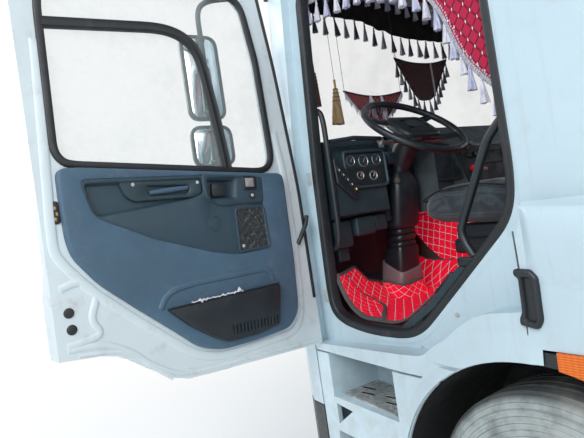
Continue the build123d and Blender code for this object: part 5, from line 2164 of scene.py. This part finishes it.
def inflate(piece, voxel, cap):
    # cloth blown out under light pressure, each point held within the cap
    remesh = piece.modifiers.new("remesh", "REMESH")
    remesh.mode = "VOXEL"
    remesh.voxel_size = voxel
    graph = bpy.context.evaluated_depsgraph_get()
    mesh = bpy.data.meshes.new_from_object(piece.evaluated_get(graph))
    piece.modifiers.clear()
    piece.data = mesh
    count = len(mesh.vertices)
    rest = np.empty(count * 3, np.float32)
    mesh.vertices.foreach_get("co", rest)
    cloth = piece.modifiers.new("cloth", "CLOTH")
    cloth.settings.use_pressure = True
    cloth.settings.uniform_pressure_force = 4
    cloth.settings.quality = 4
    cloth.settings.effector_weights.gravity = 0
    for step in range(1, 15):
        bpy.context.scene.frame_set(step)
    graph = bpy.context.evaluated_depsgraph_get()
    moved = np.empty(count * 3, np.float32)
    piece.evaluated_get(graph).to_mesh().vertices.foreach_get("co", moved)
    shift = (moved - rest).reshape(-1, 3)
    length = np.linalg.norm(shift, axis=1)
    shift *= (np.minimum(length, cap) / np.maximum(length, 1e-9))[:, None]
    piece.modifiers.clear()
    bpy.context.scene.frame_set(1)
    mesh.vertices.foreach_set("co", (rest.reshape(-1, 3) + shift).ravel())
    mesh.shade_smooth()
    mesh.update()


def pad(name, outline, y0, y1, round_, replaced=()):
    line = roundPath(outline, round_, True, 8)
    steps = np.linspace(0, math.pi / 2, 6)
    rows = [
        (round_ * 0.7 * (1 - math.sin(a)), y0 + round_ * 0.7 * (1 - math.cos(a)))
        for a in steps
    ]
    rows += [
        (round_ * 0.7 * (1 - math.sin(a)), y1 - round_ * 0.7 * (1 - math.cos(a)))
        for a in steps[::-1]
    ]
    piece = makePiece(name, stackShape(line, rows, sidePlane), seatCloth, "cab", replaces=replaced)
    inflate(piece, 0.0100, 0.012)
    return piece


for who, (y0, y1) in seatTable.items():
    replaced = ("seats",) if who == "driver" else ()
    pad(
        f"cushion_{who}",
        [
            (-634, 1402), (-616, 1374), (-400, 1356), (-112, 1350), (-108, 1446), (-340, 1488),
            (-540, 1484), (-620, 1456)
        ],
        y0 + 4, y1 - 4, 44, replaced
    )
    pad(
        f"backrest_{who}",
        [(-86, 1410), (8, 1410), (136, 2056), (120, 2088), (86, 2088), (-50, 1560)], y0 + 15,
        y1 - 15, 40
    )
    mid = (y0 + y1) / 2
    pad(
        f"headrest_{who}", [(96, 2112), (140, 2098), (170, 2246), (158, 2272), (130, 2274)],
        mid - 132, mid + 132, 26
    )
    piping = []
    for y in (y0 + 13, y1 - 13):
        piping.append(
            tubeShape(
                toRow(
                    resample(
                        roundPath(
                            [(-622, y, 1452), (-540, y, 1484), (-340, y, 1488), (-112, y, 1446)], 30
                        ),
                        12
                    )
                ),
                0.0035, 10
            )
        )
    piping.append(
        tubeShape(
            toRow([(-626, y0 + 30, 1448), (-629, mid, 1450), (-626, y1 - 30, 1448)]), 0.0035, 10
        )
    )
    makePiece(f"piping_{who}", joinShapes(piping), blackCloth, "cab")
    base = [
        roundedBox((-540, y0 + 62, 1231), (-66, y1 - 62, 1290), 16),
        roundedBox((-510, y0 + 74, 1284), (-90, y1 - 74, 1344), 14),
        roundedBox((-90, y0 + 96, 1231), (6, y1 - 96, 1420), 16),
        roundedBox((92, mid - 40, 2060), (118, mid + 40, 2130), 10)
    ]
    for k in range(5):
        base.append(roundedBox((-534, y0 + 60, 1240 + k * 10), (-72, y1 - 60, 1244 + k * 10), 1.6))
    makePiece(f"seat_base_{who}", mapShape(joinShapes(base), toRow), blackPlastic, "cab")
print("seats made")

# ---- mirrors, steps, catch surround, arch and panels outside ----


def slotOutline(x, y, inset, corner):
    # a slot of the tread plate, a little askew
    x0, x1 = x - 40 + inset, x + 40 - inset
    return roundPath(
        [(x0, y - 9 + inset), (x1, y - 17 + inset), (x1, y + 3 - inset), (x0, y + 11 - inset)],
        corner, True
    )


for side, tag in ((-1, "left"), (1, "right")):
    def place_(a, b, depth, side=side):
        # depth forwards from the mirror's face
        return toRow(
            np.stack(
                [np.broadcast_to(-1248 - np.asarray(depth, float), np.shape(a)), side * a, b], -1
            )
        )
    heads, glasses = [], []
    for y0, y1, z0, z1, deep in ((1262, 1440, 1935, 2312, 52), (1250, 1450, 1730, 1915, 48)):
        line = roundPath([(y0, z0), (y1, z0), (y1, z1), (y0, z1)], 56, True, 8)
        heads.append(
            reliefShape(
                line, [(30, deep), (10, deep - 8), (2, deep - 24), (0, 10), (1, 3), (4, 0), (9, 0)],
                [(insetOutline(line, 13), [(0, 0), (1, 3), (2, 6)], False)], place_
            )
        )
        glasses.append(stackShape(insetOutline(line, 14), [(0, 6.5), (0, 5), (2, 4.2)], place_))
    arm = [
        (-1098, 1046, 2450), (-1205, 1300, 2450), (-1236, 1345, 2420), (-1240, 1345, 1700),
        (-1226, 1310, 1665), (-1180, 1096, 1640)
    ]
    bar = np.array(arm, float) * (1, side, 1)
    heads.append(tubeShape(toRow(resample(roundPath(bar, 60, steps=10), 14)), 0.0118, 16))
    for z in (1965, 2285, 1745, 1900):
        heads.append(boxAt((-1262, side * 1330, z - 14), (-1226, side * 1362, z + 14), 6))
    feet = [
        roundedBox((-1120, side * 1052, 2428), (-1088, side * 1072, 2472), 7),
        roundedBox((-1196, side * 1076, 1618), (-1164, side * 1100, 1662), 7)
    ]
    heads.append(mapShape(joinShapes(feet), toRow))
    more = {"replaces": ("mirrors",)} if side < 0 else {}
    makePiece(f"mirror_{tag}", joinShapes(heads), blackPlastic, "cab", **more)
    makePiece(f"mirror_glass_{tag}", joinShapes(glasses), mirrorGlass, "cab")

    # galvanised tread plates with pairs of slots and turned-up teeth
    plate = roundPath([(-946, 1072), (-946, 884), (-726, 918), (-572, 1118)], 14, True)
    slots = []
    slotAt = ((-888, 985), (-845, 1030), (-722, 1008), (-676, 1052))
    for x, y in slotAt:
        slots.append((slotOutline(x, y, 0, 8), [(0, 7.5), (-2, 9), (2, 9.5), (3, 2)], True))
    treadPlane = levelPlane(701, side)
    shapes = [reliefShape(plate, [(0, 1.5), (0, 6), (2, 7.2), (5, 7.5)], slots, treadPlane)]
    for x, y in ((-930, 900), (-742, 930), (-620, 1085), (-930, 1050)):
        shapes.append(
            mapShape(
                latheShape(
                    [(708, 0.01), (708, 9), (711, 8.6), (712, 5), (712, 0.01)], (x, side * y, 0),
                    (0, 0, 1), 14
                ),
                toRow
            )
        )
    teeth = []
    for x, y in slotAt:
        for k in range(6):
            teeth.append(
                boxAt(
                    (x - 36 + k * 13, side * (y + 12) - 2, 707),
                    (x - 31 + k * 13, side * (y + 12) + 2, 713), 1.2
                )
            )
    # near-black floors in the slots: painted shade for the dark seen through the tread plate
    slotShade = [
        stackShape(slotOutline(x, y, 2, 7), [(0, 5), (0, 8.2)], treadPlane)
        for x, y in slotAt
    ]
    makePiece(f"step_slot_shade_{tag}", joinShapes(slotShade), blackAndPaintedShade, "chassis")
    more = {"replaces": ("step_plates",)} if side < 0 else {}
    makePiece(f"step_tread_{tag}", joinShapes(shapes + teeth), galvanised, "chassis", **more)
    lower = roundPath(
        [(-948, 1092), (-948, 914), (-702, 944), (-616, 1060), (-616, 1116)], 14, True
    )
    makePiece(f"step_tread_low_{tag}", stackShape(lower, [(0, 1), (0, 5.5), (2, 6.6), (5, 7)],
              levelPlane(429, side)), galvanised, "chassis")
    # black surround of the catch on the rear lower panel, a broad C with a hollow back
    loop = roundPath(
        [
            (-6, 1247), (42, 1245), (60, 1226), (58, 1112), (44, 1089), (-6, 1097), (-6, 1116),
            (4, 1132), (6, 1222), (-6, 1229)
        ],
        8, True
    )
    hollow = roundPath(
        [(13, 1228), (44, 1228), (47, 1112), (36, 1104), (8, 1110), (12, 1130)], 8, True
    )
    makePiece(
        f"catch_surround_{tag}",
        reliefShape(
            loop, [(0, -4), (0, 9), (2, 14), (6, 16)], [(hollow, [(0, 16), (2, 14), (6, 5)], True)],
            flankPlane(skinAt - 2, side), backCap=False
        ),
        blackPlastic, "cab", sharp=50
    )

    plates = []
    for z in (1112, 1615):
        plates.append(
            roundedBox(
                (-1006, side * sealAt - 1.4, z - 27), (-974, side * sealAt + 1.4, z + 27), 1.2
            )
        )
        for dz in (-14, 14):
            plates.append(
                latheShape(
                    [(0, 0.01), (0, 7), (1, 6.5), (1, 0.01)], (-990, side * 1057.9, z + dz),
                    (0, side, 0), 12
                )
            )
    makePiece(f"pillar_plates_{tag}", mapShape(joinShapes(plates), toRow), hingePaint, "cab")
    # flare over the arch: it stands out d = 11 (1 - q)^2 (1 + 2 q) - 0.8,
    # with q across its width from the lip
    q = np.array([0, 0, 0.04, 0.10, 0.2, 0.32, 0.45, 0.6, 0.75, 0.88, 1.0])[None]
    d = 11 * (1 - q) ** 2 * (1 + 2 * q) - 0.8
    d[0, 0] = -6
    for part, wide, body in (("low", 50, "chassis"), ("high", 96, "cab")):
        r = 547 + wide * q
        share = np.linspace(0, 1, 60)[:, None]
        first = np.zeros_like(r) if part == "low" else np.arcsin(
            np.minimum(1, (946 - axleHigh) / r)
        )
        last = np.arcsin(
            np.minimum(1, (934 - axleHigh) / r)
        ) if part == "low" else np.full_like(r, math.radians(94))
        angle = first + (last - first) * share
        fade = np.clip(share / 0.15, 0, 1) if part == "low" else np.clip((1 - share) / 0.12, 0, 1)
        out_ = np.maximum(np.broadcast_to(d, angle.shape) * fade, -6)
        flare = toRow(
            np.stack([-r * np.cos(angle), side * (skinAt + out_), axleHigh + r * np.sin(angle)], -1)
        )
        makePiece(f"arch_flare_{part}_{tag}", gridShape(flare), cabPaint, body, sharp=60)
    # shoulder under the window line, a swelling by height
    high = np.array([1412, 1410, 1402, 1390, 1372, 1350, 1326, 1300, 1270, 1240, 1215, 1190.0])
    deep = np.array([-2, 1.5, 6, 11, 14, 14.5, 13, 10, 6, 3, 1, -2])
    x, z = np.meshgrid(np.linspace(30, 338, 40), high, indexing="ij")
    lean = (x - 30) * -0.10
    fade = np.clip((x - 30) / 25, 0, 1)
    swell = np.where(deep < 0, deep, deep * fade)
    makePiece(
        f"side_shoulder_{tag}",
        gridShape(toRow(np.stack([x, side * (skinAt + swell), z + lean], -1))), cabPaint, "cab",
        sharp=60
    )
    # near-black wall behind the wheel: a splash shield whose colour is painted shade, hiding the
    # pale floor seen through the wheel well
    wall = np.array([
        [(-760.0, 478, 560), (-760, 478, 930)], [(-60, 478, 560), (-60, 478, 930)]
    ]) * (1, side, 1)
    makePiece(f"arch_shade_wall_{tag}", gridShape(toRow(wall)), blackAndPaintedShade, "chassis")
    # lining of the wheel arch: radius 542, from 30 degrees below the axle in front
    # to 10 past the top
    # the lining's near-black is partly its own colour and partly painted shade inside the arch
    turn_, wide_ = np.meshgrid(
        np.radians(np.linspace(-30, 100, 90)), np.array([642.0, 700, 800, 900, 1000, 1070, 1141]),
        indexing="ij"
    )
    lining = [
        toRow(np.stack([-r * np.cos(turn_), side * wide_, axleHigh + r * np.sin(turn_)], -1))
        for r in (541.5, 544.0)
    ]
    makePiece(
        f"arch_lining_{tag}", joinShapes([gridShape(lining[0]), gridShape(lining[1])]), blackAndPaintedShade,
        "chassis"
    )
    # seam of the lower rear panel, set on the skin
    seam = resample(roundPath([(3, 1346), (6, 1248), (6, 1130), (5, 1062)], 40), 10)
    makePiece(
        f"panel_seam_{tag}",
        sweepShape(
            toRow(onLevel(seam, 1, side * (skinAt - 1))), circle(0.0028, 8, 0.6), up=(0, side, 0)
        ),
        seamDark, "cab"
    )
print("outside trim made")

# ---- tyres, wheel nuts and hubs ----

tyreSizes = dict(blocks=44, sectors=6)


def tyreShape(x0, y0):
    # half profile as (y, radius), with rings round the wall;
    # the tread's blocks and grooves are cut by angle
    wall = [
        (-112, 249), (-122, 256), (-128, 270), (-131, 286), (-135, 290), (-136, 298), (-137, 302),
        (-139, 322), (-140, 350), (-139.5, 362), (-141, 364), (-141, 370), (-139, 372), (-136, 392),
        (-138, 394), (-138, 402), (-133, 404), (-127, 420), (-118, 434), (-108, 441)
    ]
    tread = [(y, axleHigh - 0.00028 * y * y) for y in np.linspace(-104, 104, 37)]
    profile = np.array(wall + tread + [(-y, r) for y, r in wall[::-1]], float)
    turn = allRound(tyreSizes["blocks"] * tyreSizes["sectors"])
    y, radius = profile[:, 0][None], profile[:, 1][None] + 0 * turn[:, None]
    grooves = np.zeros_like(radius)
    for at in (-62, -22, 22, 62):
        grooves = np.maximum(grooves, (np.abs(y - at) < 4.5) * 11.0)
    phase = (np.arange(len(turn)) % tyreSizes["sectors"])[:, None]
    sipes = (np.abs(y) > 84) & (np.abs(y) < 104)
    grooves = np.maximum(grooves, (phase < 1) * sipes * 2.0)
    zig = ((np.arange(len(turn))[:, None] + (y > 0) * 3) % tyreSizes["sectors"]) < 1
    grooves = np.maximum(grooves, zig * (np.abs(np.abs(y) - 42) < 12) * 2.5)
    radius = radius - grooves
    grid = np.stack(
        [
            x0 + radius * np.cos(turn)[:, None], y0 + y + 0 * radius,
            axleHigh + radius * np.sin(turn)[:, None]
        ],
        -1
    )
    return gridShape(toRow(grid), wrapRows=True)


def wheelNuts(x0, y0, side, ring, count, size):
    parts = []
    for a in allRound(count):
        x, z = x0 + ring * math.cos(a), axleHigh + ring * math.sin(a)
        parts.append(
            latheShape(
                [
                    (0, 0.01), (0, size * 1.3), (4, size * 1.25), (4, size), (22, size),
                    (24, size * 0.8), (24, 0.01)
                ],
                (x, y0, z), (0, side, 0), 6
            )
        )
        parts.append(
            latheShape(
                [(20, size * 0.5), (34, size * 0.5), (35, size * 0.35), (35, 0.01)], (x, y0, z),
                (0, side, 0), 10
            )
        )
    return parts


for side, tag in ((-1, "left"), (1, "right")):
    makePiece(
        f"tyre_front_{tag}_tread", tyreShape(0, side * 975), tyreFront, f"wheel_front_{tag}",
        sharp=30, replaces=(f"tyre_front_{tag}",), slotName="tyre"
    )
    pair = joinShapes([tyreShape(wheelbase, side * y) for y in (755, 1075)])
    makePiece(
        f"tyres_rear_{tag}_tread", pair, tyreRear, f"wheels_rear_{tag}", sharp=30,
        replaces=(f"tyres_rear_{tag}",), slotName="tyre"
    )
    front = wheelNuts(0, side * 1020, side, 138, 10, 15)
    front.append(
        latheShape(
            [(0, 60), (30, 58), (44, 50), (50, 34), (50, 0.01)], (0, side * 1068, axleHigh),
            (0, side, 0), 40
        )
    )
    front.append(
        latheShape(
            [(0, 236), (6, 240), (14, 244), (16, 240), (12, 230)], (0, side * 1088, axleHigh),
            (0, side, 0), 72, wrap=True
        )
    )
    makePiece(
        f"wheel_nuts_front_{tag}", mapShape(joinShapes(front), toRow), steelBright,
        f"wheel_front_{tag}"
    )
    rear = wheelNuts(wheelbase, side * 931, side, 138, 10, 15)
    makePiece(
        f"wheel_nuts_rear_{tag}", mapShape(joinShapes(rear), toRow), steelBright,
        f"wheels_rear_{tag}"
    )
print("wheels made")
